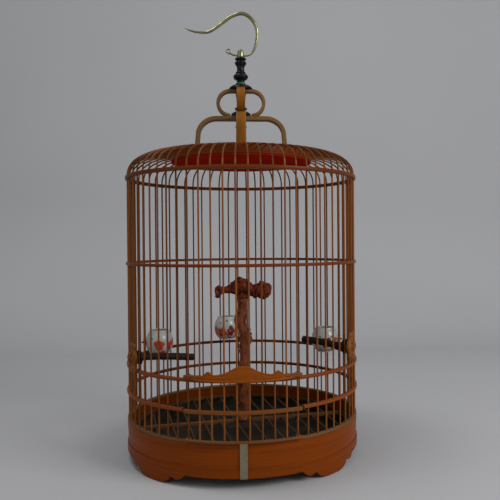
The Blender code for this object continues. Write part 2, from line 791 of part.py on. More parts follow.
def floor_grid(finish):
    """The floor's ring with its slats let into it, and notches for the crossbar."""
    ring_loops = [closed_ring(GRID_OUTER), closed_ring(GRID_INNER)]
    ring = as_mesh(plate("floor_grid", ring_loops, GRID_RING_HEIGHT, GRID_BOTTOM))
    slats = []
    middle = (GRID_OUTER + GRID_INNER) / 2
    for x in slat_places():
        half = math.sqrt(middle**2 - x**2)
        slats.append(box("slat", (SLAT_WIDTH, 2 * half, SLAT_HEIGHT), (x, 0.0, SLAT_LEVEL), GRID_TURN))
    combine(ring, joined("floor_slats", slats), "UNION")
    notch_size = (
        2 * crossbar_half() + 2 * SEAT,
        CROSSBAR_WIDTH + 2 * SEAT,
        GRID_RING_HEIGHT + 2 * CUT_OVERRUN,
    )
    notch = box("crossbar_notch", notch_size, (0.0, 0.0, SLAT_LEVEL), GRID_TURN)
    keeper_size = (2 * GRID_INNER - GRID_RING_WIDTH, 2 * CROSSBAR_WIDTH, notch_size[2] + CUT_OVERRUN)
    keeper = box("slat_room", keeper_size, (0.0, 0.0, SLAT_LEVEL), GRID_TURN)
    helper(notch)
    combine(notch, keeper, "DIFFERENCE")
    combine(ring, notch, "DIFFERENCE")
    keep(ring, finish)


def crossbar_half():
    return GRID_OUTER - CROSSBAR_LIP


def crossbar(finish):
    """The flat bar across the floor: the slats pass through it, and the stand is pegged on it."""
    size = (2 * crossbar_half(), CROSSBAR_WIDTH, CROSSBAR_HEIGHT)
    bar = box("floor_crossbar", size, (0.0, 0.0, CROSSBAR_BOTTOM + CROSSBAR_HEIGHT / 2), GRID_TURN)
    slack = 2 * BORE_SLACK
    hole = (SLAT_WIDTH + slack, CROSSBAR_WIDTH + CUT_OVERRUN, SLAT_HEIGHT + slack)
    holes = [box("slat_hole", hole, (x, 0.0, SLAT_LEVEL), GRID_TURN) for x in slat_places()]
    combine(bar, joined("slat_holes", holes), "DIFFERENCE")
    peg_hole = rod(
        "crossbar_peg_hole",
        PEG_RADIUS + BORE_SLACK,
        CROSSBAR_HEIGHT + 2 * CUT_OVERRUN,
        Matrix.Translation((0.0, 0.0, CROSSBAR_BOTTOM)),
    )
    combine(bar, peg_hole, "DIFFERENCE")
    keep(bar, finish)


def crown(board_finish, lining_finish):
    """The crown board with a groove for the bar ends, its red lining below and its cover above."""
    boss = BOARD_BOSS_TOP - BOARD_BOTTOM
    groove = GROOVE_INNER - SEAT
    board_profile = (
        (ROD_BORE, boss),
        (groove, boss),
        (groove, BOARD_THICKNESS),
        (CROWN_RADIUS, BOARD_THICKNESS),
        (CROWN_RADIUS, 0.0),
        (ROD_BORE, 0.0),
    )
    board = turned("crown_board", board_profile, BOARD_BOTTOM, CROWN_STEPS, closed=True)
    cover_profile = (
        (ROD_BORE, COVER_THICKNESS),
        (CROWN_RADIUS - COVER_THICKNESS, COVER_THICKNESS),
        (CROWN_RADIUS, COVER_THICKNESS / 2),
        (CROWN_RADIUS, 0.0),
        (ROD_BORE, 0.0),
    )
    cover = turned("crown_cover", cover_profile, COVER_BOTTOM, CROWN_STEPS, closed=True)
    slack = 2 * BORE_SLACK
    foot = ARCH_HALF_SPAN - ARCH_THICKNESS / 2
    depth = 2 * (ARCH_TENON + SEAT)
    sockets = []
    for number in range(4):
        size = (ARCH_THICKNESS + slack, ARCH_WIDTH + slack, depth)
        sockets.append(box("leg_socket", size, (foot, 0.0, COVER_TOP), number * math.pi / 2))
    mortises = joined("leg_mortises", sockets)
    combine(board, mortises, "DIFFERENCE")
    combine(cover, mortises, "DIFFERENCE")
    keep(board, board_finish)
    keep(cover, board_finish)
    lining_profile = (
        (ROD_BORE, LINING_THICKNESS),
        (CROWN_RADIUS, LINING_THICKNESS),
        (CROWN_RADIUS, 0.0),
        (ROD_BORE, 0.0),
    )
    lining = turned("crown_lining", lining_profile, LINING_BOTTOM, CROWN_STEPS, closed=True)
    keep(lining, lining_finish)


def lap_cut(name, width, level, thickness, upper):
    """The half of a crossing that one of two lapped strips gives up."""
    side = width + 2 * BORE_SLACK
    height = thickness / 2 + CUT_OVERRUN
    shift = (height - SEAT) / 2 if upper else (SEAT - height) / 2
    return box(name, (side, side, height), (0.0, 0.0, level + shift))


def crossed_strips(base, outline, width, level, thickness, finish):
    """Two like strips crossing at right angles, half-lapped and bored for the tie rod where they cross."""
    for ending, angle, upper in (("side_to_side", 0.0, True), ("front_to_back", math.pi / 2, False)):
        name = f"{base}_{ending}"
        strip = as_mesh(upright(plate(name, [outline], width), angle))
        combine(strip, lap_cut(name + "_lap", width, level, thickness, upper), "DIFFERENCE")
        bore = rod(name + "_bore", ROD_BORE, 2 * thickness, Matrix.Translation((0.0, 0.0, level)))
        combine(strip, bore, "DIFFERENCE")
        keep(strip, finish)


def arches(finish):
    """The two wide arches that stand in the crown."""
    inner_corner = ARCH_CORNER - ARCH_THICKNESS
    corner = (ARCH_HALF_SPAN - ARCH_CORNER, ARCH_TOP - ARCH_CORNER)
    quarter = math.pi / 2
    outer = [(ARCH_HALF_SPAN, ARCH_FOOT), *arc(corner, ARCH_CORNER, 0.0, quarter)]
    inner = [*arc(corner, inner_corner, quarter, 0.0), (ARCH_HALF_SPAN - ARCH_THICKNESS, ARCH_FOOT)]
    left_outer = [(-x, z) for x, z in reversed(outer)]
    left_inner = [(-x, z) for x, z in reversed(inner)]
    outline = outer + left_outer + left_inner + inner
    level = ARCH_TOP - ARCH_THICKNESS / 2
    crossed_strips("handle_arch", outline, ARCH_WIDTH, level, ARCH_THICKNESS, finish)


def loops(finish):
    """The two smaller loops on the arches: each end curls in and stands on the arch."""
    inner_radius = LOOP_RADIUS - LOOP_THICKNESS
    centre = (LOOP_OFFSET, LOOP_CENTRE)
    quarter = math.pi / 2
    foot_turn = -math.asin(LOOP_DROP / LOOP_RADIUS)
    outer = arc(centre, LOOP_RADIUS, foot_turn, quarter, 2 * ARC_SEGMENTS)
    inner = arc(centre, inner_radius, quarter, -quarter, 2 * ARC_SEGMENTS)
    right = [(LOOP_OFFSET, LOOP_FOOT), *outer]
    left = [(-x, z) for x, z in reversed(right)]
    left_inner = [(-x, z) for x, z in reversed(inner)]
    outline = right + left + left_inner + inner
    level = LOOP_TOP - LOOP_THICKNESS / 2
    crossed_strips("handle_loop", outline, LOOP_WIDTH, level, LOOP_THICKNESS, finish)


def turned_stack(dark, jade, brass):
    """The turned pieces threaded on the tie rod, from the crown up to the finial."""
    lower_bottom = COVER_TOP + SEAT
    lower_height = ARCH_TOP - ARCH_THICKNESS - SEAT - lower_bottom
    keep(bored("spindle_lower", LOWER_SPINDLE_SHARES, SPINDLE_RADIUS, lower_height, lower_bottom), dark)
    middle_height = LOOP_TOP - LOOP_THICKNESS - SEAT - LOOP_FOOT
    keep(bored("spindle_middle", MIDDLE_SPINDLE_SHARES, SPINDLE_RADIUS, middle_height, LOOP_FOOT), dark)
    keep(bored("dome_cap", DOME_CAP_SHARES, DOME_CAP_RADIUS, DOME_CAP_HEIGHT, DOME_CAP_BOTTOM), dark)
    keep(bored("jade_washer", WASHER_SHARES, WASHER_RADIUS, WASHER_THICKNESS, WASHER_BOTTOM), jade)
    finial_profile = scaled(FINIAL_SHARES, FINIAL_RADIUS, FINIAL_HEIGHT)
    finial_profile[0] = (FINIAL_SOCKET_RADIUS, FINIAL_HEIGHT)
    finial_profile += [
        (ROD_BORE, 0.0),
        (ROD_BORE, FINIAL_HEIGHT - FINIAL_SOCKET_DEPTH),
        (FINIAL_SOCKET_RADIUS, FINIAL_HEIGHT - FINIAL_SOCKET_DEPTH),
    ]
    keep(turned("finial", finial_profile, FINIAL_BOTTOM, closed=True), dark)
    rod_bottom = LINING_BOTTOM - SEAT - ROD_HEAD_THICKNESS
    rod_profile = (
        (0.0, SWIVEL_HEAD_TOP - rod_bottom),
        (SWIVEL_HEAD_RADIUS, SWIVEL_HEAD_TOP - rod_bottom),
        (SWIVEL_HEAD_RADIUS, SWIVEL_HEAD_BOTTOM - rod_bottom),
        (ROD_RADIUS, SWIVEL_HEAD_BOTTOM - rod_bottom),
        (ROD_RADIUS, ROD_HEAD_THICKNESS),
        (ROD_HEAD_RADIUS, ROD_HEAD_THICKNESS),
        (ROD_HEAD_RADIUS, 0.0),
        (0.0, 0.0),
    )
    keep(turned("tie_rod", rod_profile, rod_bottom), brass)


def swivel_post(finish):
    """The brass post that turns in the finial: its lip is held under the tie rod's upper head."""
    chamber = SWIVEL_HEAD_RADIUS + ROD_SLACK
    chamber_top = SWIVEL_HEAD_TOP + SEAT - POST_BOTTOM
    knob_bottom = POST_KNOB_BOTTOM - POST_BOTTOM
    knob = [(r, knob_bottom + z) for r, z in scaled(POST_KNOB_SHARES, POST_KNOB_RADIUS, POST_KNOB_HEIGHT)]
    profile = (
        *knob,
        (POST_STEM_RADIUS, knob_bottom),
        (POST_STEM_RADIUS, 0.0),
        (ROD_BORE, 0.0),
        (ROD_BORE, POST_LIP),
        (chamber, POST_LIP),
        (chamber, chamber_top),
        (0.0, chamber_top),
    )
    post = turned("swivel_post", profile, POST_BOTTOM)
    across = Matrix.Translation((0.0, 0.0, HOOK_LEVEL)) @ Matrix.Rotation(math.pi / 2, 4, "Y")
    hole_radius = hook_radius_at_post() + BORE_SLACK
    hole = rod("hook_hole", hole_radius, 4 * POST_KNOB_RADIUS, across)
    combine(post, hole, "DIFFERENCE")
    keep(post, finish)


def hook_radius_at_post():
    """The wire's radius where it passes through the post."""
    nearest = min(HOOK_SHARES, key=lambda share: abs(share[0]) + abs(share[1]))
    return HOOK_RADIUS * nearest[2]


def hook(finish):
    """The tapered brass hook: through the post, up and over, with a small curl at its lower end."""
    points = [(x * HOOK_HEIGHT, 0.0, HOOK_LEVEL + z * HOOK_HEIGHT, share) for x, z, share in HOOK_SHARES]
    wire = tube("hook", [smooth_points(points, HOOK_SMOOTH_STEPS)], HOOK_RADIUS, HOOK_ROUND_STEPS)
    keep(wire, finish)


def door_bar_angle(place):
    """A door bar's angle: seen from the front it is in line with the wall bar above it."""
    return math.asin(WALL_RADIUS * math.sin(bar_angle(place)) / DOOR_BAR_RADIUS)


def notched_edge(radius, notch_radius):
    """A rail's inner edge, with a notch for each door bar."""
    half = HOLE_HALF / DOOR_BAR_RADIUS
    points = []
    for place in DOOR_BARS:
        angle = door_bar_angle(place)
        for turn, reach in ((-half, radius), (-half, notch_radius), (half, notch_radius), (half, radius)):
            points.append(tuple(around(angle + turn, reach).xy))
    return points


def door_eye_ends(rail_inner):
    """The end of a rail that reaches in round the guide bar, from the rail's inner edge outwards."""
    half = DOOR_EYE_WIDTH / WALL_RADIUS / 2
    start = GUIDE_ANGLE - half
    end = GUIDE_ANGLE + DOOR_RAIL_END / WALL_RADIUS
    corners = ((start, rail_inner), (start, DOOR_EYE_INNER), (end, DOOR_EYE_INNER), (end, DOOR_RAIL_OUTER))
    right = [tuple(around(angle, radius).xy) for angle, radius in corners]
    left = [(-x, y) for x, y in reversed(right)]
    return left, right


def door_rail(name, inner_edge, rail_inner, bottom, height, holes, finish):
    """A rail of the door with an eye round the guide bar at each end."""
    left, right = door_eye_ends(rail_inner)
    end = GUIDE_ANGLE + DOOR_RAIL_END / WALL_RADIUS
    outer = wall_arc(DOOR_RAIL_OUTER, end, -end, 2 * DOOR_SIDE_BAR_COUNT)[1:-1]
    eyes = [eye_hole(side * GUIDE_ANGLE, WALL_RADIUS, DOOR_EYE_RADIUS) for side in (-1, 1)]
    loops_of_rail = [left + inner_edge + right + outer, *holes, *eyes]
    return keep(plate(name, loops_of_rail, height, bottom), finish)


def door(finish, plate_finish):
    """The lifting door: bars in three rails, with a carved plate on its head."""
    notch_radius = DOOR_BAR_RADIUS + HOLE_HALF
    notched = notched_edge(DOOR_RAIL_INNER, notch_radius)
    door_rail("door_foot_rail", notched, DOOR_RAIL_INNER, DOOR_RAIL_BOTTOM, DOOR_RAIL_HEIGHT, [], finish)
    end = GUIDE_ANGLE + DOOR_RAIL_END / WALL_RADIUS
    outer = wall_arc(DOOR_RAIL_OUTER, end, -end, 2 * DOOR_SIDE_BAR_COUNT)
    ends = wall_arc(DOOR_RAIL_INNER, -end, end, 1)
    middle_outline = [ends[0], *notched, ends[1], *outer]
    middle_bottom = LOW_LEVEL - DOOR_MIDDLE_RAIL_HEIGHT / 2
    keep(plate("door_middle_rail", [middle_outline], DOOR_MIDDLE_RAIL_HEIGHT, middle_bottom), finish)
    head_inner = WALL_OUTER + 2 * SEAT
    half = DOOR_EYE_WIDTH / WALL_RADIUS / 2
    head_edge = wall_arc(head_inner, -GUIDE_ANGLE + half, GUIDE_ANGLE - half, 2 * DOOR_SIDE_BAR_COUNT)[1:-1]
    holes = [square_hole(door_bar_angle(i), DOOR_BAR_RADIUS, HOLE_HALF) for i in DOOR_BARS]
    head_bottom = DOOR_HEAD_RAIL_BOTTOM
    door_rail("door_head_rail", head_edge, head_inner, head_bottom, DOOR_HEAD_RAIL_HEIGHT, holes, finish)
    for number, place in enumerate(DOOR_BARS, 1):
        angle = door_bar_angle(place)
        foot = around(angle, DOOR_BAR_RADIUS, DOOR_RAIL_BOTTOM)
        head = around(angle, DOOR_BAR_RADIUS, DOOR_HEAD_RAIL_BOTTOM + DOOR_HEAD_RAIL_HEIGHT)
        keep(tube(f"door_bar_{number}", [[foot, head]], BAR_RADIUS), finish)
    door_plate(plate_finish)


def door_plate(finish):
    """The carved plate: a scrolled outline cut from a curved board that follows the wall."""
    half = scaled(DOOR_PLATE_SHARES, DOOR_PLATE_HALF_WIDTH, DOOR_PLATE_HEIGHT)
    outline = half[1:] + [(-x, z) for x, z in reversed(half[1:-1])]
    depth = DOOR_PLATE_HALF_WIDTH
    shape = plate("door_plate_outline", [outline], depth)
    shape.rotation_euler = (math.pi / 2, 0.0, 0.0)
    shape.location = (0.0, -DOOR_PLATE_INNER, DOOR_HEAD_LEVEL)
    outer = DOOR_PLATE_INNER + DOOR_PLATE_THICKNESS
    height = DOOR_PLATE_HEIGHT + 2 * CUT_OVERRUN
    board_profile = ((outer, height), (outer, 0.0), (DOOR_PLATE_INNER, 0.0), (DOOR_PLATE_INNER, height))
    board_bottom = DOOR_HEAD_LEVEL - CUT_OVERRUN
    board = turned("door_plate", board_profile, board_bottom, DOOR_PLATE_STEPS, closed=True)
    combine(board, as_mesh(shape), "INTERSECT")
    keep(board, finish)


def cup_centre_radius():
    """How far a cup stands from the cage axis when it touches the two bars beside its lug."""
    across = WALL_RADIUS * math.sin(BAR_STEP / 2)
    along = WALL_RADIUS * math.cos(BAR_STEP / 2)
    return along - math.sqrt((CUP_RADIUS + BAR_RADIUS + SEAT) ** 2 - across**2)


def cup(side, angle, level, porcelain, bamboo):
    """A porcelain cup whose lug passes between two bars, with the pin that holds it outside them."""
    profile = scaled(CUP_OUTER_SHARES, CUP_RADIUS, CUP_HEIGHT)
    profile.append((0.0, 0.0))
    profile += scaled(CUP_INNER_SHARES, CUP_RADIUS, CUP_HEIGHT)
    body = turned(f"cup_{side}", profile, level, CUP_STEPS, closed=True)
    centre = cup_centre_radius()
    place = around(angle, centre, level)
    body.location = place
    body.rotation_euler.z = heading(angle)
    pin_reach = WALL_OUTER + SEAT + BAR_RADIUS - centre
    lug_start = CUP_RADIUS * (CUP_OUTER_SHARES[CUP_BELLY_INDEX][0] + CUP_INNER_SHARES[CUP_BELLY_INDEX][0]) / 2
    lug_end = pin_reach + CUP_LUG_END / 2
    lug = box(
        f"cup_{side}_lug",
        (lug_end - lug_start, CUP_LUG_WIDTH, CUP_LUG_HEIGHT),
        ((lug_start + lug_end) / 2, 0.0, CUP_LUG_LEVEL),
    )
    along_y = Matrix.Translation((pin_reach, 0.0, CUP_LUG_LEVEL)) @ Matrix.Rotation(math.pi / 2, 4, "X")
    hole = rod(f"cup_{side}_pin_hole", HOLE_HALF, CUP_LUG_WIDTH + CUT_OVERRUN, along_y)
    for other, operation in ((lug, "UNION"), (hole, "DIFFERENCE")):
        other.location = place
        other.rotation_euler.z = heading(angle)
        combine(body, other, operation)
    keep(body, porcelain)
    half = CUP_PIN_LENGTH / 2
    pin_run = [(pin_reach, -half, CUP_LUG_LEVEL), (pin_reach, half, CUP_LUG_LEVEL)]
    pin = tube(f"cup_pin_{side}", [pin_run], BAR_RADIUS)
    pin.location = place
    pin.rotation_euler.z = heading(angle)
    keep(pin, bamboo)


def knob_face():
    """How far from the cage axis the back of a perch knob lies: just clear of the hoops."""
    return HOOP_OUTER + SEAT


def perch(side, angle, level, tip, finish):
    """An ebony stub perch: a stem through the wall, a collar inside it and a slightly bowed stick."""
    collar_face = WALL_INNER * math.cos(BAR_STEP / 2) - SEAT
    collar_back = collar_face - PERCH_COLLAR_THICKNESS
    stem_end = knob_face() + KNOB_THICKNESS - KNOB_STEM_SHORT
    stem_share = PERCH_STEM_RADIUS / PERCH_RADIUS
    collar_share = PERCH_COLLAR_RADIUS / PERCH_RADIUS
    straight = (
        (stem_end, stem_share),
        (collar_face + PERCH_SHOULDER_EASE, stem_share),
        (collar_face, collar_share),
        (collar_back, collar_share),
        (collar_back - PERCH_SHOULDER_EASE, 1.0),
        (collar_back - PERCH_STRAIGHT, 1.0),
    )
    points = [(*around(angle, radius, level), share) for radius, share in straight]
    start = Vector(points[-1][:3])
    end = Vector(tip)
    for share in (0.35, 0.7, 1.0):
        place = start.lerp(end, share)
        place.z += PERCH_BOW * math.sin(math.pi * share)
        thickness = 1.0 + (PERCH_TIP_RADIUS / PERCH_RADIUS - 1.0) * share
        points.append((*place, thickness))
    stick = tube(f"perch_{side}", [points], PERCH_RADIUS, 2)
    keep(stick, finish)


def knob(side, angle, level, finish):
    """The carved knob outside the wall: turned on the stem, it clamps the perch to the bars."""
    outline = []
    for i in range(KNOB_POINT_COUNT):
        turn = math.tau * i / KNOB_POINT_COUNT
        swell = 1.0 + KNOB_LOBE_SHARE * math.cos(KNOB_LOBE_COUNT * turn)
        across = KNOB_HALF_WIDTH * swell * math.cos(turn)
        up = KNOB_HALF_HEIGHT * swell * math.sin(turn)
        outline.append((across, up))
    shape = as_mesh(plate(f"perch_knob_{side}", [outline], KNOB_THICKNESS))
    seat = WALL_OUTER + SEAT
    boss_length = knob_face() - seat + KNOB_THICKNESS / 2
    to_seat = Matrix.Translation((0.0, 0.0, -(KNOB_THICKNESS / 2 + knob_face() - seat) + boss_length / 2))
    boss = rod(f"perch_knob_{side}_boss", PERCH_COLLAR_RADIUS, boss_length, to_seat)
    bore_length = 4 * KNOB_THICKNESS
    bore = rod(f"perch_knob_{side}_bore", PERCH_STEM_RADIUS + BORE_SLACK, bore_length, Matrix())
    facing = Matrix.Rotation(heading(angle), 4, "Z") @ Matrix.Rotation(math.pi / 2, 4, "Y")
    facing = facing @ Matrix.Rotation(math.pi / 2, 4, "Z")
    place = Matrix.Translation(around(angle, knob_face() + KNOB_THICKNESS / 2, level)) @ facing
    shape.matrix_world = place
    for other, operation in ((boss, "UNION"), (bore, "DIFFERENCE")):
        other.matrix_world = place
        combine(shape, other, operation)
    keep(shape, finish)


def stand(finish, bamboo):
    """The root-wood post on the crossbar and the gnarled perch head on it."""
    points = [
        (x * STAND_RADIUS, y * STAND_RADIUS, STAND_BOTTOM + z * STAND_HEIGHT, share)
        for x, y, z, share in STAND_SHARES
    ]
    post = as_mesh(tube("stand_post", [points], STAND_RADIUS, 2))
    socket = rod(
        "stand_peg_socket",
        PEG_RADIUS + BORE_SLACK,
        2 * PEG_SOCKET_DEPTH,
        Matrix.Translation((0.0, 0.0, STAND_BOTTOM)),
    )
    tenon_socket = rod(
        "stand_tenon_socket",
        TENON_RADIUS + BORE_SLACK,
        2 * HEAD_TENON,
        Matrix.Translation((0.0, 0.0, STAND_TOP)),
    )
    combine(post, socket, "DIFFERENCE")
    combine(post, tenon_socket, "DIFFERENCE")
    smooth(post)
    keep(post, finish)
    peg_bottom = CROSSBAR_BOTTOM + SEAT
    peg_length = STAND_BOTTOM + PEG_SOCKET_DEPTH - SEAT - peg_bottom
    peg_centre = Matrix.Translation((0.0, 0.0, peg_bottom + peg_length / 2))
    peg = rod("stand_peg", PEG_RADIUS, peg_length, peg_centre, 8)
    keep(peg, bamboo)
    head_level = STAND_TOP + HEAD_RADIUS
    branch = [
        (x * HEAD_HALF_LENGTH, y * HEAD_RADIUS, head_level + z * HEAD_RADIUS, share)
        for x, y, z, share in HEAD_SHARES
    ]
    head = as_mesh(tube("stand_head", [branch], HEAD_RADIUS, 2))
    tenon_length = HEAD_TENON - SEAT + HEAD_RADIUS
    tenon_centre = STAND_TOP - HEAD_TENON + SEAT + tenon_length / 2
    tenon_place = Matrix.Translation((0.0, 0.0, tenon_centre))
    tenon = rod("stand_head_tenon", TENON_RADIUS, tenon_length, tenon_place)
    combine(head, tenon, "UNION")
    trim_size = (2 * HEAD_HALF_LENGTH, 2 * HEAD_HALF_LENGTH, HEAD_HALF_LENGTH)
    trim = box("stand_head_trim", trim_size, (0.0, 0.0, STAND_TOP + SEAT - HEAD_HALF_LENGTH / 2))
    helper(trim)
    room_place = Matrix.Translation((0.0, 0.0, STAND_TOP))
    room = rod("stand_tenon_room", 2 * TENON_RADIUS, 2 * HEAD_HALF_LENGTH, room_place)
    combine(trim, room, "DIFFERENCE")
    combine(head, trim, "DIFFERENCE")
    smooth(head)
    keep(head, finish)


def main():
    for obj in list(bpy.data.objects):
        bpy.data.objects.remove(obj)
    scene = bpy.context.scene.collection
    scene.children.link(PIECES)
    scene.children.link(CUTTERS)

    bamboo = material("varnished_bamboo", (0.46, 0.17, 0.045), 0.35)
    hoop_bamboo = material("hoop_bamboo", (0.36, 0.13, 0.035), 0.35)
    drum_wood = material("drum_wood", (0.38, 0.13, 0.035), 0.30)
    pale_bamboo = material("pale_bamboo", (0.60, 0.36, 0.16), 0.50)
    crown_wood = material("crown_wood", (0.30, 0.10, 0.03), 0.35)
    red_lacquer = material("red_lacquer", (0.45, 0.02, 0.02), 0.30)
    handle_wood = material("handle_wood", (0.42, 0.21, 0.06), 0.40)
    plate_wood = material("plate_wood", (0.58, 0.22, 0.05), 0.35)
    dark_horn = material("dark_horn", (0.015, 0.017, 0.022), 0.25)
    jade = material("jade", (0.05, 0.30, 0.22), 0.30)
    brass = material("brass", (0.70, 0.52, 0.24), 0.25, 1.0)
    clip_metal = material("clip_metal", (0.62, 0.58, 0.48), 0.35, 1.0)
    tray_dark = material("tray_dark", (0.03, 0.035, 0.04), 0.60)
    porcelain = material("porcelain", (0.82, 0.82, 0.80), 0.15)
    ebony = material("ebony", (0.02, 0.017, 0.015), 0.40)
    knob_wood = material("knob_wood", (0.28, 0.15, 0.05), 0.40)
    root_wood = material("root_wood", (0.24, 0.06, 0.025), 0.45)

    drum(drum_wood)
    rim(pale_bamboo)
    feet(drum_wood)
    clip(clip_metal)
    tray(tray_dark)
    floor_grid(pale_bamboo)
    crossbar(pale_bamboo)
    wall(bamboo)
    hoop("hoop_shoulder", SHOULDER_LEVEL, hoop_bamboo)
    hoop("hoop_waist", WAIST_LEVEL, hoop_bamboo)
    hoop("hoop_door_head", DOOR_HEAD_LEVEL, hoop_bamboo)
    open_hoop("hoop_low", LOW_LEVEL, hoop_bamboo)
    crown(crown_wood, red_lacquer)
    arches(handle_wood)
    loops(handle_wood)
    turned_stack(dark_horn, jade, brass)
    swivel_post(brass)
    hook(brass)
    door(bamboo, plate_wood)
    for side, angle, level in CUPS:
        cup(side, angle, level, porcelain, bamboo)
    for side, angle, level, tip in PERCHES:
        perch(side, angle, level, tip, ebony)
        knob(side, angle, level, knob_wood)
    stand(root_wood, bamboo)


main()
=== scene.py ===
"""Looks of the bamboo bird cage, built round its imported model.

Everything is in metres with +Z up. The cage axis is the Z axis, and the feet stand on Z = 0.
The door faces -Y. Angles round the wall are counted from the front, positive towards +X.
"""

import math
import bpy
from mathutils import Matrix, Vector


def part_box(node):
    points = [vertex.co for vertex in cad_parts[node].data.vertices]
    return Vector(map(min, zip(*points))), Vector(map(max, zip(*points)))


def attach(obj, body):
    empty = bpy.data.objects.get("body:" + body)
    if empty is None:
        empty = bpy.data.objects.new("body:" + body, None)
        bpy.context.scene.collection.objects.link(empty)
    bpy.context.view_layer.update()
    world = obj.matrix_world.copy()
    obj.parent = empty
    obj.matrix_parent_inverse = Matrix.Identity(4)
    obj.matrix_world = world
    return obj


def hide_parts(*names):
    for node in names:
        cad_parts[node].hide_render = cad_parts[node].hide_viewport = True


bl_info = {
    "name": "Bamboo Bird Cage",
    "version": (1, 0, 0),
    "blender": (4, 5, 0),
    "location": "3D View > Sidebar > Bird Cage",
    "description": "Builds the visible pieces and finishes of a round bamboo bird cage",
    "category": "Object",
}

import bmesh
import bpy
from bpy.props import FloatProperty, FloatVectorProperty, IntProperty, PointerProperty
from mathutils import Matrix, Vector, noise

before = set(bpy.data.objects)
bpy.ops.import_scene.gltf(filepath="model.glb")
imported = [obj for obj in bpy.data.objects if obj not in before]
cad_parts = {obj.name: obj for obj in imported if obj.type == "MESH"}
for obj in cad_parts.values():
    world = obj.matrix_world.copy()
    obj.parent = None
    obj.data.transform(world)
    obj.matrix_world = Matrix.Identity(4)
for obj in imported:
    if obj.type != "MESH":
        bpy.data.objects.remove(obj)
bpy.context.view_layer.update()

MM = 0.001
TURN = math.tau
DOOR_BARS = 8
GUIDE_PLACES = DOOR_BARS / 2 + 0.5
ROD_BORE = 2.3 * MM
KNOB_BACK = 181.3 * MM
DRUM_INSIDE = 173.0 * MM
GAP = 0.3 * MM
# Painted shade inside the wall's circle fades out across these distances from the cage axis.
INNER_SHADE_REACH = (176.6 * MM, 177.8 * MM)
FIBRE_DEPTH, LATHE_DEPTH, SCRATCH_DEPTH, WOOD_DEPTH = (v * MM for v in (0.4, 0.3, 0.2, 1.2))


# Shapes


def around(angle, radius, height=0.0):
    """The point at this angle from the front, this far from the cage axis."""
    return Vector((radius * math.sin(angle), -radius * math.cos(angle), height))


def smooth_path(points, steps):
    """More points on a smooth curve through every given point."""
    ends = [points[0], *points, points[-1]]
    made = []
    for a, b, c, d in zip(ends, ends[1:], ends[2:], ends[3:]):
        for i in range(steps):
            t = i / steps
            weights = (
                (-t + 2 * t**2 - t**3) / 2,
                (2 - 5 * t**2 + 3 * t**3) / 2,
                (t + 4 * t**2 - 3 * t**3) / 2,
                (t**3 - t**2) / 2,
            )
            made.append(tuple(sum(w * p[i] for w, p in zip(weights, (a, b, c, d))) for i in range(len(a))))
    return [*made, tuple(points[-1])]


def rounded_box(low_a, high_a, low_b, high_b, corner, steps=3):
    """The outline of a rectangle with rounded corners, anticlockwise."""
    middles = (
        (high_a - corner, high_b - corner, 0.0),
        (low_a + corner, high_b - corner, 0.25),
        (low_a + corner, low_b + corner, 0.5),
        (high_a - corner, low_b + corner, 0.75),
    )
    outline = []
    for a, b, start in middles:
        for i in range(steps + 1):
            turn = TURN * (start + 0.25 * i / steps)
            outline.append((a + corner * math.cos(turn), b + corner * math.sin(turn)))
    return outline


class Form:
    """A closed form being built: its points, its faces and the run of the fibre at each face corner."""

    def __init__(self):
        self.points = []
        self.faces = []
        self.fibre = []
        self.tones = []

    def add(self, points, faces, fibre, tone=0.0):
        """Adds one closed shell and turns its faces outwards."""
        volume = 0.0
        for face in faces:
            first = Vector(points[face[0]])
            for second, third in zip(face[1:], face[2:]):
                volume += first.dot(Vector(points[second]).cross(Vector(points[third])))
        start = len(self.points)
        self.points += [tuple(p) for p in points]
        for face, corners in zip(faces, fibre):
            order = range(len(face)) if volume > 0 else range(len(face) - 1, -1, -1)
            self.faces.append([start + face[i] for i in order])
            self.fibre.append([corners[i] for i in order])
        self.tones += [tone] * len(points)
        return self

    def mesh(self, name):
        """The form as a mesh, with the run of its fibre and its tones as attributes."""
        made = bpy.data.meshes.new(name)
        made.from_pydata(self.points, [], self.faces)
        fibre = made.attributes.new("fibre", "FLOAT_VECTOR", "CORNER")
        fibre.data.foreach_set("vector", [value for face in self.fibre for corner in face for value in corner])
        tone = made.attributes.new("tone", "FLOAT", "POINT")
        tone.data.foreach_set("value", self.tones)
        made.validate()
        return made


def rings_form(form, rings, fibre, tone=0.0, closed=False):
    """Skins a row of like closed outlines. fibre gives the fibre place from (ring, corner)."""
    count = len(rings[0])
    points = [p for ring in rings for p in ring]
    faces = []
    corners = []
    for i in range(len(rings) if closed else len(rings) - 1):
        j = (i + 1) % len(rings)
        for k in range(count):
            m = (k + 1) % count
            faces.append([i * count + k, i * count + m, j * count + m, j * count + k])
            corners.append([fibre(i, k), fibre(i, k + 1), fibre(i + 1, k + 1), fibre(i + 1, k)])
    if not closed:
        for i, order in ((0, range(count - 1, -1, -1)), (len(rings) - 1, range(count))):
            faces.append([i * count + k for k in order])
            corners.append([fibre(i, k) for k in order])
    return form.add(points, faces, corners, tone)


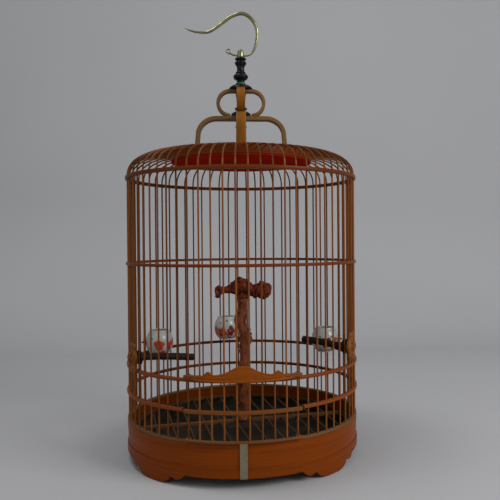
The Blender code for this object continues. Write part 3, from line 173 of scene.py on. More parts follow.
def turned(form, profile, steps, centre=(0.0, 0.0), start=0.0, sweep=TURN, fibre="round", tone=0.0):
    """Turns a closed profile of (radius, height) round an upright axis. Radius 0 makes a pole."""
    whole = abs(sweep - TURN) < 1e-6
    count = steps if whole else steps + 1
    reference = max(r for r, z in profile)
    points = []
    index = []
    for r, z in profile:
        if r < 1e-7:
            index.append([len(points)] * (steps + 1))
            points.append((centre[0], centre[1], z))
            continue
        index.append([len(points) + k % count for k in range(steps + 1)])
        for k in range(count):
            p = around(start + sweep * k / steps, r, z)
            points.append((p.x + centre[0], p.y + centre[1], z))

    def run(i, k):
        r, z = profile[i]
        angle = start + sweep * k / steps
        if fibre == "round":
            return (angle * reference, r, z)
        p = around(angle, r, z)
        return (z, p.x, p.y) if fibre == "up" else (p.x, p.y, z)

    faces = []
    corners = []
    for i in range(len(profile)):
        j = (i + 1) % len(profile)
        for k in range(steps):
            ring = [(i, k), (i, k + 1), (j, k + 1), (j, k)]
            seen = []
            kept = []
            for a, b in ring:
                if index[a][b] not in seen:
                    seen.append(index[a][b])
                    kept.append((a, b))
            if len(seen) > 2:
                faces.append(seen)
                corners.append([run(a, b) for a, b in kept])
    if not whole:
        for k in (0, steps):
            faces.append([index[i][k] for i in range(len(profile))][:: -1 if k else 1])
            corners.append([run(i, k) for i in range(len(profile))][:: -1 if k else 1])
    return form.add(points, faces, corners, tone)


def stick(form, points, radii, sides=16, rough=None, tone=0.0):
    """A round stick along a path, with closed ends. rough(point) gives how far its skin stands out."""
    places = [Vector(p) for p in points]
    ways = []
    for i in range(len(places)):
        before = places[max(i - 1, 0)]
        after = places[min(i + 1, len(places) - 1)]
        ways.append((after - before).normalized())
    side = ways[0].orthogonal().normalized()
    lengths = [0.0]
    rings = []
    for i, (place, way, radius) in enumerate(zip(places, ways, radii)):
        if i:
            lengths.append(lengths[-1] + (place - places[i - 1]).length)
            side = (side - way * side.dot(way)).normalized()
        other = way.cross(side)
        ring = []
        for k in range(sides):
            turn = TURN * k / sides
            outward = side * math.cos(turn) + other * math.sin(turn)
            point = place + outward * radius
            if rough:
                point += outward * rough(point)
            ring.append(tuple(point))
        rings.append(ring)

    def run(i, k):
        turn = TURN * k / sides
        return (lengths[i], radii[i] * math.cos(turn), radii[i] * math.sin(turn))

    return rings_form(form, rings, run, tone)


def bent_strip(form, stations, half, corner, turn=0.0, tone=0.0):
    """A flat strip bent in the upright plane at this turn from X: stations are (point, way, low, high)."""
    across = Vector((-math.sin(turn), math.cos(turn), 0.0))
    along = Vector((math.cos(turn), math.sin(turn), 0.0))
    rings = []
    sections = []
    lengths = [0.0]
    for i, ((x, z), (dx, dz), low, high) in enumerate(stations):
        if i:
            px, pz = stations[i - 1][0]
            lengths.append(lengths[-1] + math.hypot(x - px, z - pz))
        section = rounded_box(low, high, -half, half, min(corner, (high - low) * 0.3))
        out = along * -dz + Vector((0.0, 0.0, dx))
        place = along * x + Vector((0.0, 0.0, z))
        rings.append([tuple(place + out * a + across * b) for a, b in section])
        sections.append(section)

    def run(i, k):
        a, b = sections[i][k % len(sections[i])]
        return (lengths[i], a, b)

    return rings_form(form, rings, run, tone)


def cube(form, matrix, size, corner=0.0003, tone=0.0):
    """A small block with rounded long edges, its length along the matrix's X axis."""
    length, wide, high = size
    section = rounded_box(-wide / 2, wide / 2, -high / 2, high / 2, corner)
    ends = (-length / 2, length / 2)
    rings = [[tuple(matrix @ Vector((x, a, b))) for a, b in section] for x in ends]
    return rings_form(form, rings, lambda i, k: (ends[i], *section[k % len(section)]), tone)


def path_stick(form, path, sides, rough=None):
    """A round stick along points that each carry their radius as a fourth number."""
    return stick(form, [p[:3] for p in path], [p[3] for p in path], sides, rough)


def settle(name, shape, material, slot, *nodes, body="cage", sharp=35.0):
    """Makes a form or a mesh a piece of the cage: it gets its finish, its body and the nodes it stands for."""
    mesh = shape.mesh(name) if isinstance(shape, Form) else shape
    piece = bpy.data.objects.new(name, mesh)
    bpy.context.scene.collection.objects.link(piece)
    mesh.shade_smooth()
    mesh.set_sharp_from_angle(angle=math.radians(sharp))
    if not mesh.materials:
        mesh.materials.append(finish(material))
    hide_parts(*nodes)
    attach(piece, body)


# Finishes


class Wiring:
    """Adds nodes to a tree and links them: an input given as a socket is linked, any other is set."""

    def __init__(self, tree):
        self.tree = tree

    def fill(self, node, inputs):
        for key, value in inputs.items():
            if isinstance(value, bpy.types.NodeSocket):
                self.tree.links.new(value, node.inputs[key])
            else:
                node.inputs[key].default_value = value

    def node(self, kind, inputs=None, **settings):
        made = self.tree.nodes.new(kind)
        for key, value in settings.items():
            setattr(made, key, value)
        self.fill(made, inputs or {})
        return made

    def maths(self, operation, *values):
        return self.node("ShaderNodeMath", dict(enumerate(values)), operation=operation).outputs[0]

    def product(self, first, second):
        return self.maths("MULTIPLY", first, second)

    def vector(self, operation, *values):
        made = self.node("ShaderNodeVectorMath", dict(enumerate(values)), operation=operation)
        return made.outputs["Value" if operation == "LENGTH" else "Vector"]

    def scale(self, vector, factor):
        return self.node("ShaderNodeVectorMath", {0: vector, "Scale": factor}, operation="SCALE").outputs["Vector"]

    def split(self, vector):
        return self.node("ShaderNodeSeparateXYZ", {"Vector": vector}).outputs

    def join(self, **parts):
        return self.node("ShaderNodeCombineXYZ", parts).outputs["Vector"]

    def attribute(self, name, output="Vector"):
        return self.node("ShaderNodeAttribute", attribute_name=name).outputs[output]

    def place(self):
        """The point's place on its piece's object."""
        return self.node("ShaderNodeTexCoord").outputs["Object"]

    def grain(self, place, scale, detail=3.0, rough=0.55, warp=0.0):
        """Noise stretched by the given scales, or by one scale every way."""
        spread = self.vector("MULTIPLY", place, scale if isinstance(scale, tuple) else (scale,) * 3)
        inputs = {"Vector": spread, "Scale": 1.0, "Detail": detail, "Roughness": rough, "Distortion": warp}
        return self.node("ShaderNodeTexNoise", inputs).outputs["Fac"]

    def cells(self, place, scale, chance):
        """A flat pattern of cells, more uneven with more chance."""
        inputs = {"Vector": place, "Scale": scale, "Randomness": chance}
        return self.node("ShaderNodeTexVoronoi", inputs, voronoi_dimensions="2D").outputs

    def band(self, value, low, high, first=0.0, last=1.0):
        inputs = {"Value": value, "From Min": low, "From Max": high, "To Min": first, "To Max": last}
        return self.node("ShaderNodeMapRange", inputs).outputs["Result"]

    def blend(self, share, first, second):
        return self.node("ShaderNodeMix", {0: share, 6: first, 7: second}, data_type="RGBA").outputs[2]

    def relief(self, height, strength, depth):
        inputs = {"Strength": strength, "Distance": depth, "Height": height}
        return self.node("ShaderNodeBump", inputs).outputs["Normal"]

    def store(self, geometry, name, value, kind="FLOAT_VECTOR", domain="CORNER"):
        inputs = {"Geometry": geometry, "Name": name, "Value": value}
        made = self.node("GeometryNodeStoreNamedAttribute", inputs, data_type=kind, domain=domain)
        return made.outputs["Geometry"]


def rgb(colour, light=1.0):
    return (*(min(c * light, 1.0) for c in colour), 1.0)


def deep_of(colour, share):
    """The same colour at this share of its light."""
    return tuple(v * share for v in colour)


def opened(made):
    """The wiring and the shader of a finish."""
    return Wiring(made.node_tree), made.node_tree.nodes["Principled BSDF"]


def new_finish(name):
    made = bpy.data.materials.new(name)
    made.use_nodes = True
    return (made, *opened(made))


def skin_of(shader):
    """The colour that a shader has been given so far."""
    return shader.inputs["Base Color"].links[0].from_socket


def bamboo(name, colour, deep, along=16.0, across=900.0, gloss=0.36, varnish=0.04, spread=0.3, inner=1.0):
    """Split bamboo under varnish: long fine fibres, slow changes of tone. With inner under 1 it carries painted shade
    inside the wall's circle: the inner halves of bars and hoops, and the whole dome, are darker.
    """
    made, wires, shader = new_finish(name)
    tone = wires.attribute("tone", "Fac")
    shift = wires.scale((3.1, 1.7, 2.3), tone)  # so that no two bars share a pattern
    place = wires.vector("ADD", wires.attribute("fibre"), shift)
    fine = wires.grain(place, (along, across, across), 4.0, 0.6)
    slow = wires.grain(place, (along * 0.35, across * 0.12, across * 0.12), 2.0, 0.5)
    vessel = wires.grain(place, (along * 2.2, across * 2.4, across * 2.4), 1.0, 0.5)
    share = wires.maths("ADD", wires.band(fine, 0.32, 0.68, 0.0, 0.62), wires.band(slow, 0.3, 0.7, 0.0, 0.38))
    base = wires.blend(share, rgb(deep), rgb(colour))
    base = wires.blend(wires.band(vessel, 0.60, 0.72, 0.0, 0.35), base, rgb(deep, 0.7))
    light = wires.band(tone, 0.0, 1.0, 1.0 - spread, 1.0 + spread)
    # Painted shade: darker inside the wall's circle, on the inner halves of bars and hoops and over all the dome bars.
    if inner < 1.0:
        reach = wires.vector("LENGTH", wires.vector("MULTIPLY", wires.place(), (1.0, 1.0, 0.0)))
        light = wires.product(light, wires.band(reach, *INNER_SHADE_REACH, inner, 1.0))
    wires.fill(shader, {
        "Base Color": wires.scale(base, light),
        "Roughness": wires.band(fine, 0.2, 0.8, gloss + 0.10, gloss - 0.05),
        "Normal": wires.relief(fine, 0.12, FIBRE_DEPTH),
        "Specular IOR Level": 0.08,
        "Coat Weight": varnish,
        "Coat Roughness": 0.12,
    })
    return made


def strip_bamboo(name, colour, deep, edge):
    """Bent handle strips: varnished skin on the wide faces and duller cut fibre on the narrow edges."""
    made = bamboo(name, colour, deep, along=20.0, across=700.0, gloss=0.38)
    wires, shader = opened(made)
    fibre = wires.attribute("fibre")
    skin_ends, edge_starts = 6.0 * MM, 6.4 * MM
    side = wires.band(wires.maths("ABSOLUTE", wires.split(fibre)["Z"]), skin_ends, edge_starts)
    layers = wires.grain(fibre, (30.0, 1600.0, 200.0), 2.0)
    cut = wires.blend(wires.band(layers, 0.35, 0.65), rgb(edge, 0.75), rgb(edge, 1.2))
    wires.fill(shader, {"Base Color": wires.blend(side, skin_of(shader), cut)})
    return made


def drum_bamboo(name, colour, deep):
    """The bent band of the base: varnished outside, with painted shade that darkens its inner face."""
    made = bamboo(name, colour, deep, along=7.0, across=420.0, varnish=0.08)
    wires, shader = opened(made)
    reach = wires.split(wires.attribute("fibre"))["Y"]
    # Painted shade on the inner face: full inside the first reach, fading out by the second.
    shaded_reach, varnished = DRUM_INSIDE + 1.5 * MM, DRUM_INSIDE + 3.5 * MM
    shade = wires.band(reach, shaded_reach, varnished, 0.62, 1.0)
    wires.fill(shader, {"Base Color": wires.scale(skin_of(shader), shade), "Specular IOR Level": 0.05})
    return made


def lacquer(name, colour, deep):
    """Red lacquer brushed on a board: deep, worn dull and slightly uneven."""
    made, wires, shader = new_finish(name)
    place = wires.place()
    brush = wires.grain(place, (30.0, 260.0, 30.0), 3.0)
    cloud = wires.grain(place, 22.0, 2.0)
    share = wires.maths("ADD", wires.band(brush, 0.3, 0.7, 0.0, 0.5), wires.band(cloud, 0.3, 0.7, 0.0, 0.5))
    wires.fill(shader, {
        "Base Color": wires.blend(share, rgb(deep), rgb(colour)),
        "Roughness": wires.band(brush, 0.2, 0.8, 0.40, 0.60),
        "Normal": wires.relief(brush, 0.08, FIBRE_DEPTH),
        "Specular IOR Level": 0.0,
    })
    return made


def horn(name, colour, glow):
    """Turned dark horn: near black, with faint cloudy bands and a hand polish."""
    made, wires, shader = new_finish(name)
    place = wires.place()
    bands = wires.grain(place, (90.0, 90.0, 240.0), 4.0, 0.6, 0.6)
    lathe = wires.grain(place, (5.0, 5.0, 3800.0), 2.0)
    wires.fill(shader, {
        "Base Color": wires.blend(wires.band(bands, 0.45, 0.75), rgb(colour), rgb(glow)),
        "Roughness": wires.band(bands, 0.2, 0.8, 0.16, 0.32),
        "Normal": wires.relief(lathe, 0.10, LATHE_DEPTH),
        "Specular IOR Level": 0.12,
    })
    return made


def stone(name, colour, deep):
    """Green polished stone with cloudy veins."""
    made, wires, shader = new_finish(name)
    cloud = wires.grain(wires.place(), 260.0, 5.0, 0.6, 1.2)
    wires.fill(shader, {
        "Base Color": wires.blend(wires.band(cloud, 0.35, 0.65), rgb(deep), rgb(colour)),
        "Roughness": wires.band(cloud, 0.2, 0.8, 0.12, 0.25),
    })
    return made


def worn_metal(name, colour, tarnish, gloss, amount):
    """Polished metal with fine scratches and cloudy tarnish."""
    made, wires, shader = new_finish(name)
    place = wires.place()
    cloud = wires.grain(place, 140.0, 4.0, 0.6, 0.4)
    scratch = wires.grain(place, (2600.0, 500.0, 900.0), 2.0)
    dull = wires.band(cloud, 0.35, 0.7, gloss, gloss + 0.2)
    wires.fill(shader, {
        "Base Color": wires.blend(wires.band(cloud, 0.42, 0.66, 0.0, amount), rgb(colour), rgb(tarnish)),
        "Roughness": wires.maths("ADD", dull, wires.band(scratch, 0.3, 0.7, 0.0, 0.06)),
        "Normal": wires.relief(scratch, 0.06, SCRATCH_DEPTH),
        "Metallic": 1.0,
    })
    return made


def painted_porcelain(name, glaze, paint, second, leaf, shade):
    """White glaze with large five-petal blossoms low on the cup and small leaf dabs, read from the cup's own map."""
    made, wires, shader = new_finish(name)
    flat = wires.node("ShaderNodeUVMap", uv_map="wrap").outputs["UV"]
    row_level, row_top, ragged = 11.5 * MM, 16.0 * MM, 2.4 * MM
    petal_size, flower_size = 3.2 * MM, 7.1 * MM
    petal_edge, heart_edge, throat_edge = (0.6 * MM, 1.8 * MM), (1.2 * MM, 1.9 * MM), (1.5 * MM, 7.5 * MM)
    painted_from, painted_to = (2.2 * MM, 3.0 * MM), (36.0 * MM, 38.0 * MM)
    row = (0.0, row_level, 0.0)
    cells = wires.cells(wires.vector("SUBTRACT", flat, row), 54.0, 0.5)
    pick = wires.split(cells["Color"])
    local = wires.vector("SUBTRACT", flat, wires.vector("ADD", cells["Position"], row))
    parts = wires.split(local)
    distance = wires.vector("LENGTH", local)
    turn = wires.maths("ADD", wires.maths("ARCTAN2", parts["Y"], parts["X"]), wires.product(pick["X"], 6.0))
    petals = wires.maths("ABSOLUTE", wires.maths("COSINE", wires.product(turn, 5 / 2)))
    reach = wires.maths("MULTIPLY_ADD", petals, petal_size, flower_size)
    wobble = wires.grain(flat, 700.0, 3.0)
    edge = wires.maths("MULTIPLY_ADD", wobble, ragged, wires.maths("SUBTRACT", distance, reach))
    low_down = wires.maths("LESS_THAN", wires.split(cells["Position"])["Y"], row_top)
    chosen = wires.product(wires.maths("GREATER_THAN", pick["Y"], 0.12), low_down)
    blossom = wires.product(wires.band(edge, *petal_edge, 1.0, 0.0), chosen)
    heart = wires.product(wires.band(distance, *heart_edge, 1.0, 0.0), chosen)
    dabs = wires.cells(flat, 150.0, 1.0)
    few = wires.maths("GREATER_THAN", wires.split(dabs["Color"])["X"], 0.88)
    leaves = wires.product(wires.band(dabs["Distance"], 0.26, 0.36, 1.0, 0.0), few)
    height = wires.split(flat)["Y"]
    inside = wires.product(wires.band(height, *painted_from), wires.band(height, *painted_to, 1.0, 0.0))
    hue = wires.blend(wires.maths("GREATER_THAN", pick["Z"], 0.66), rgb(paint), rgb(second))
    throat = wires.blend(0.45, hue, rgb(deep_of(paint, 0.3)))
    petal = wires.blend(wires.band(distance, *throat_edge), throat, hue)
    base = wires.blend(wires.band(wires.grain(flat, 60.0, 2.0), 0.3, 0.7), rgb(glaze, 0.9), rgb(glaze))
    for share, colour in ((leaves, rgb(leaf)), (blossom, petal), (heart, rgb(shade))):
        base = wires.blend(wires.product(share, inside), base, colour)
    wires.fill(shader, {
        "Base Color": base,
        "Roughness": wires.band(wobble, 0.2, 0.8, 0.14, 0.24),
        "Specular IOR Level": 0.4,
    })
    return made


def rough_wood(name, colour, deep, pale, scale, relief, gloss):
    """Root or carved wood: swirling figure, painted shade darkening the hollows, and raised knots paler partly from
    wear and partly from a painted highlight.
    """
    made, wires, shader = new_finish(name)
    place = wires.place()
    swirl = wires.grain(place, (scale, scale, scale * 0.35), 5.0, 0.62, 1.6)
    knots = wires.grain(place, (scale * 2.6, scale * 2.6, scale * 2.0), 3.0, 0.6, 0.5)
    base = wires.blend(wires.band(swirl, 0.38, 0.62), rgb(deep), rgb(colour))
    # Raised knots are paler: partly wear, partly a painted highlight.
    base = wires.blend(wires.band(knots, 0.56, 0.72, 0.0, 0.6), base, rgb(pale))
    # Painted shade: the hollows of the knot relief are darkened.
    base = wires.blend(wires.band(knots, 0.24, 0.38, 0.7, 0.0), base, rgb(deep, 0.45))
    wires.fill(shader, {
        "Base Color": base,
        "Roughness": wires.band(swirl, 0.2, 0.8, gloss + 0.12, gloss - 0.06),
        "Normal": wires.relief(knots, relief, WOOD_DEPTH),
        "Specular IOR Level": 0.10,
    })
    return made


def tray_paint(name, colour, dust):
    """Dark painted tray, dulled by dust."""
    made, wires, shader = new_finish(name)
    place = wires.place()
    film = wires.grain(place, 24.0, 4.0, 0.65, 0.6)
    base = wires.blend(wires.band(film, 0.38, 0.72, 0.0, 0.5), rgb(colour), rgb(dust))
    specks = wires.band(wires.grain(place, 700.0, 1.0), 0.66, 0.74, 0.0, 0.5)
    wires.fill(shader, {
        "Base Color": wires.blend(specks, base, rgb(dust, 1.6)),
        "Roughness": wires.band(film, 0.2, 0.8, 0.45, 0.75),
        "Specular IOR Level": 0.03,
    })
    return made


# Sizes, colours and finishes that the operators share


def length_property(name, description, default):
    return FloatProperty(name=name, description=description, default=default, min=0.0, unit="LENGTH", precision=4)


def colour_property(name, description, default):
    return FloatVectorProperty(
        name=name, description=description, default=default, size=3, subtype="COLOR", min=0.0, max=1.0
    )


class CageSizes(bpy.types.PropertyGroup):
    """Sizes of the cage's visible pieces."""

    bar_diameter: length_property("Bar", "Diameter of a wall bar", 2.5 * MM)
    bar_count: IntProperty(name="Bars", description="Places for bars round the wall", default=66, min=12)
    wall_radius: length_property("Wall", "Distance of the bars from the cage axis", 177.3 * MM)
    shoulder_level: length_property("Shoulder", "Level at which the bars start to bend inwards", 431.8 * MM)
    dome_rise: length_property("Dome", "Rise of the bars from the shoulder to the crown", 37.0 * MM)
    bar_head_radius: length_property("Bar Heads", "Distance of the bar ends from the cage axis", 107.3 * MM)
    dome_fullness: FloatProperty(
        name="Dome Fullness", description="Under 1 the dome is fuller than an oval", default=0.85
    )
    shoulder_hoop_height: length_property("Shoulder Hoop Height", "Height of the hoop at the shoulder", 5.4 * MM)
    hoop_reach: length_property("Hoop", "Width of a hoop, measured from inside to outside", 7.0 * MM)
    hoop_height: length_property("Hoop Height", "Height of a hoop", 4.3 * MM)
    slat_count: IntProperty(name="Slats", description="Slats across the floor", default=14, min=2)
    slat_pitch: length_property("Slat Pitch", "Distance between neighbouring slats", 25.0 * MM)
    slat_width: length_property("Slat", "Width of a floor slat", 2.6 * MM)
    floor_turn: FloatProperty(
        name="Floor Turn", description="Turn of the floor lattice", default=math.radians(11.0), unit="ROTATION"
    )
    handle_width: length_property("Arch Strip", "Width of a strip of the two arches", 15.0 * MM)
    arch_drop: length_property("Arch Drop", "How far the arches have sunk under the loops", 1.0 * MM)
    loop_width: length_property("Loop Strip", "Width of a strip of the two loops", 13.0 * MM)
    carving_depth: length_property("Carving", "Depth of the carving on the door's plate", 0.9 * MM)
    seed: IntProperty(name="Seed", description="Seed for the chance differences between sticks", default=7)


class CageColours(bpy.types.PropertyGroup):
    """Colours of the cage's finishes."""

    bar: colour_property("Bars", "Varnished bamboo of the bars", (0.235, 0.072, 0.012))
    hoop: colour_property("Hoops", "Varnished bamboo of the hoops", (0.215, 0.046, 0.005))
    drum: colour_property("Drum", "Bent band of the base", (0.245, 0.046, 0.001))
    rim: colour_property("Rim", "Pale ring on the drum", (0.24, 0.118, 0.044))
    crown: colour_property("Crown", "Edge and top of the crown", (0.29, 0.048, 0.002))
    lining: colour_property("Lining", "Red lacquer under the crown", (0.42, 0.018, 0.006))
    strip: colour_property("Handle", "Wide faces of the handle strips", (0.20, 0.068, 0.006))
    strip_edge: colour_property("Handle Edge", "Cut edges of the handle strips", (0.20, 0.110, 0.040))
    plate: colour_property("Plate", "Carved plate of the door", (0.27, 0.064, 0.003))
    horn: colour_property("Horn", "Turned pieces of the handle", (0.004, 0.006, 0.007))
    jade: colour_property("Stone", "Green washer of the handle", (0.02, 0.22, 0.16))
    brass: colour_property("Brass", "Hook and its post", (0.33, 0.315, 0.165))
    clip: colour_property("Strip", "Metal strip on the drum's seam", (0.32, 0.27, 0.18))
    tray: colour_property("Tray", "Painted droppings tray", (0.018, 0.0155, 0.0115))
    slat: colour_property("Slats", "Bamboo of the floor lattice", (0.13, 0.056, 0.018))
    glaze: colour_property("Glaze", "White glaze of the cups", (0.40, 0.41, 0.38))
    spray: colour_property("Blossoms", "Painted blossoms on the cups", (0.42, 0.045, 0.012))
    perch: colour_property("Perches", "Dark wood of the perches", (0.022, 0.013, 0.008))
    knob: colour_property("Knobs", "Carved knobs of the perches", (0.26, 0.085, 0.014))
    root: colour_property("Stand", "Root wood of the stand", (0.23, 0.060, 0.022))
    head: colour_property("Stand Head", "Redder root wood of the perch head", (0.18, 0.029, 0.008))
    ground: colour_property("Ground", "Floor and backdrop of the stage", (0.43, 0.43, 0.44))


FINISHES = {}


def finish(name):
    """The finish of this name, made on first use from the scene's colours."""
    if name in FINISHES:
        return FINISHES[name]
    c = bpy.context.scene.cage_colours
    deep = deep_of
    recipes = {
        "bar_bamboo": (bamboo, (c.bar, deep(c.bar, 0.6)), {"gloss": 0.34, "varnish": 0.06, "spread": 0.28}),
        # The wall bars get painted shade on their inner halves and over the whole dome.
        "wall_bamboo": (bamboo, (c.bar, deep(c.bar, 0.6)), {"gloss": 0.34, "varnish": 0.05, "inner": 0.62}),
        "hoop_bamboo": (bamboo, (c.hoop, deep(c.hoop, 0.6)), {"along": 12.0}),
        # The door-head and low hoops get a stronger painted shade on their inner halves.
        "low_hoop_bamboo": (bamboo, (c.hoop, deep(c.hoop, 0.6)), {"along": 12.0, "inner": 0.5}),
        "drum_bamboo": (drum_bamboo, (c.drum, deep(c.drum, 0.62)), {}),
        "rim_bamboo": (bamboo, (c.rim, deep(c.rim, 0.65)), {"gloss": 0.5, "varnish": 0.0}),
        "crown_wood": (bamboo, (c.crown, deep(c.crown, 0.6)), {"along": 9.0, "across": 350.0}),
        "red_lacquer": (lacquer, (c.lining, deep(c.lining, 0.6)), {}),
        "strip_bamboo": (strip_bamboo, (c.strip, deep(c.strip, 0.6), c.strip_edge), {}),
        "plate_bamboo": (bamboo, (c.plate, deep(c.plate, 0.66)), {"along": 10.0, "across": 420.0}),
        "dark_horn": (horn, (c.horn, (0.030, 0.020, 0.017)), {}),
        "green_stone": (stone, (c.jade, deep(c.jade, 0.4)), {}),
        "brass": (worn_metal, (c.brass, deep(c.brass, 0.45)), {"gloss": 0.20, "amount": 0.7}),
        "strip_metal": (worn_metal, (c.clip, deep(c.clip, 0.6)), {"gloss": 0.34, "amount": 0.35}),
        "tray_paint": (tray_paint, (c.tray, (0.060, 0.052, 0.040)), {}),
        "slat_bamboo": (bamboo, (c.slat, deep(c.slat, 0.5)), {"gloss": 0.55, "varnish": 0.0}),
        "porcelain": (
            painted_porcelain,
            (c.glaze, c.spray),
            {"second": (0.17, 0.018, 0.022), "leaf": (0.07, 0.12, 0.05), "shade": (0.38, 0.18, 0.04)},
        ),
        "perch_wood": (
            rough_wood,
            (c.perch, deep(c.perch, 0.4), (0.05, 0.034, 0.022)),
            {"scale": 160.0, "relief": 0.5, "gloss": 0.5},
        ),
        "knob_wood": (
            rough_wood,
            (c.knob, deep(c.knob, 0.35), (0.36, 0.16, 0.035)),
            {"scale": 240.0, "relief": 0.35, "gloss": 0.35},
        ),
        "root_wood": (
            rough_wood,
            (c.root, deep(c.root, 0.3), (0.29, 0.092, 0.038)),
            {"scale": 100.0, "relief": 0.35, "gloss": 0.42},
        ),
        "head_wood": (
            rough_wood,
            (c.head, deep(c.head, 0.12), (0.38, 0.080, 0.024)),
            {"scale": 110.0, "relief": 0.8, "gloss": 0.42},
        ),
    }
    maker, colours, options = recipes[name]
    FINISHES[name] = maker(name, *colours, **options)
    return FINISHES[name]


# Repeated sticks, by Geometry Nodes


def new_tree(name, **kinds):
    """A geometry tree whose inputs have these names, with spaces for underscores, and kinds."""
    tree = bpy.data.node_groups.new(name, "GeometryNodeTree")
    tree.interface.new_socket("Geometry", in_out="OUTPUT", socket_type="NodeSocketGeometry")
    for label, kind in {"Geometry": "Geometry", **kinds}.items():
        tree.interface.new_socket(label.replace("_", " "), in_out="INPUT", socket_type="NodeSocket" + kind)
    wires = Wiring(tree)
    return tree, wires, wires.node("NodeGroupInput").outputs


def set_out(wires, count, unit, seed, position=None, **inputs):
    """Repeats a stick on this many points, gives each its own tone and makes the result one mesh."""
    where = {"Count": count} if position is None else {"Count": count, "Position": position}
    points = wires.node("GeometryNodePoints", where).outputs[0]
    spread = wires.node("GeometryNodeInstanceOnPoints", {"Points": points, "Instance": unit, **inputs})
    chance = wires.node("FunctionNodeRandomValue", {"Seed": seed}, data_type="FLOAT").outputs[1]
    toned = wires.store(spread.outputs["Instances"], "tone", chance, "FLOAT", "INSTANCE")
    return wires.node("GeometryNodeRealizeInstances", {"Geometry": toned}).outputs["Geometry"]


def end_tree(wires, geometry, material):
    """Paints the geometry and hands it to the tree's output."""
    painted = wires.node("GeometryNodeSetMaterial", {"Geometry": geometry, "Material": material})
    wires.node("NodeGroupOutput", {"Geometry": painted.outputs["Geometry"]})


def bars_tree():
    """Sticks round the wall: a guide curve becomes a round stick, which is repeated from place to place.

    A setback share under 1 sets sticks further out than the wall in line with its bars.
    """
    tree, wires, given = new_tree(
        "bars round the wall",
        Radius="Float",
        First_Place="Int",
        Count="Int",
        Step="Float",
        Setback_Share="Float",
        Seed="Int",
        Finish="Material",
    )
    length = wires.node("GeometryNodeSplineParameter").outputs["Length"]
    marked = wires.store(given["Geometry"], "run", length, "FLOAT", "POINT")
    circle = wires.node("GeometryNodeCurvePrimitiveCircle", {"Resolution": 10, "Radius": given["Radius"]})
    place = wires.node("GeometryNodeInputPosition").outputs[0]
    section = wires.store(circle.outputs["Curve"], "section", place, domain="POINT")
    skin = wires.node("GeometryNodeCurveToMesh", {"Curve": marked, "Profile Curve": section, "Fill Caps": True})
    run = wires.node("GeometryNodeInputNamedAttribute", {"Name": "run"}, data_type="FLOAT")
    cross = wires.node("GeometryNodeInputNamedAttribute", {"Name": "section"}, data_type="FLOAT_VECTOR")
    parts = wires.split(cross.outputs["Attribute"])
    fibre = wires.join(X=run.outputs["Attribute"], Y=parts["X"], Z=parts["Y"])
    unit = wires.store(skin.outputs["Mesh"], "fibre", fibre)
    number = wires.maths("ADD", wires.node("GeometryNodeInputIndex").outputs[0], given["First Place"])
    plain = wires.product(wires.maths("ADD", number, 0.5), given["Step"])
    in_line = wires.maths("ARCSINE", wires.product(wires.maths("SINE", plain), given["Setback Share"]))
    set_back = wires.maths("LESS_THAN", given["Setback Share"], 0.9999)
    on_wall = wires.product(plain, wires.maths("SUBTRACT", 1.0, set_back))
    turn = wires.maths("ADD", wires.product(in_line, set_back), on_wall)
    sticks = set_out(wires, given["Count"], unit, given["Seed"], Rotation=wires.join(Z=turn))
    end_tree(wires, sticks, given["Finish"])
    return tree


def slats_tree():
    """Slats across the floor: a stick two units long is repeated, and each is cut to the ring's width."""
    tree, wires, given = new_tree(
        "slats across the floor",
        Count="Int",
        Pitch="Float",
        Reach="Float",
        Level="Float",
        Turn="Float",
        Seed="Int",
        Finish="Material",
    )
    middle = wires.product(wires.maths("SUBTRACT", given["Count"], 1.0), 0.5)
    number = wires.maths("SUBTRACT", wires.node("GeometryNodeInputIndex").outputs[0], middle)
    out = wires.product(number, given["Pitch"])
    squares = (wires.product(given["Reach"], given["Reach"]), wires.product(out, out))
    half = wires.maths("SQRT", wires.maths("SUBTRACT", *squares))
    place = wires.join(X=out, Z=given["Level"])
    size = wires.join(X=1.0, Y=half, Z=1.0)
    sticks = set_out(wires, given["Count"], given["Geometry"], given["Seed"], place, Scale=size)
    spot = wires.split(wires.node("GeometryNodeInputPosition").outputs[0])
    stored = wires.store(sticks, "fibre", wires.join(X=spot["Y"], Y=spot["X"], Z=spot["Z"]))
    inputs = {"Geometry": stored, "Rotation": wires.join(Z=given["Turn"])}
    end_tree(wires, wires.node("GeometryNodeTransform", inputs).outputs["Geometry"], given["Finish"])
    return tree


def grown(source, tree, values):
    """Runs a tree on an object with these input values and returns the result as a plain mesh."""
    bpy.context.scene.collection.objects.link(source)
    step = source.modifiers.new("grow", "NODES")
    step.node_group = tree
    for item in tree.interface.items_tree:
        if item.item_type == "SOCKET" and item.in_out == "INPUT" and item.name in values:
            step[item.identifier] = values[item.name]
    source.update_tag()
    bpy.context.view_layer.update()
    seen = source.evaluated_get(bpy.context.evaluated_depsgraph_get())
    mesh = bpy.data.meshes.new_from_object(seen)
    bpy.data.objects.remove(source)
    return mesh


def guide_curve(name, points):
    """A curve object that a tree turns into sticks."""
    curve = bpy.data.curves.new(name, "CURVE")
    curve.dimensions = "3D"
    spline = curve.splines.new("POLY")
    spline.points.add(len(points) - 1)
    for spot, point in zip(spline.points, points):
        spot.co = (*point, 1.0)
    return bpy.data.objects.new(name, curve)


# Wall


def bar_path(foot):
    """The front bar's path: up the wall and over the shoulder into the crown."""
    s = bpy.context.scene.cage_sizes
    points = [(0.0, -s.wall_radius, foot + (s.shoulder_level - foot) * i / 6) for i in range(6)]
    span = s.wall_radius - s.bar_head_radius
    for i in range(15):
        turn = math.pi / 2 * i / 14
        out, up = max(math.cos(turn), 0.0) ** s.dome_fullness, math.sin(turn) ** s.dome_fullness
        points.append((0.0, -s.bar_head_radius - span * out, s.shoulder_level + s.dome_rise * up))
    return points


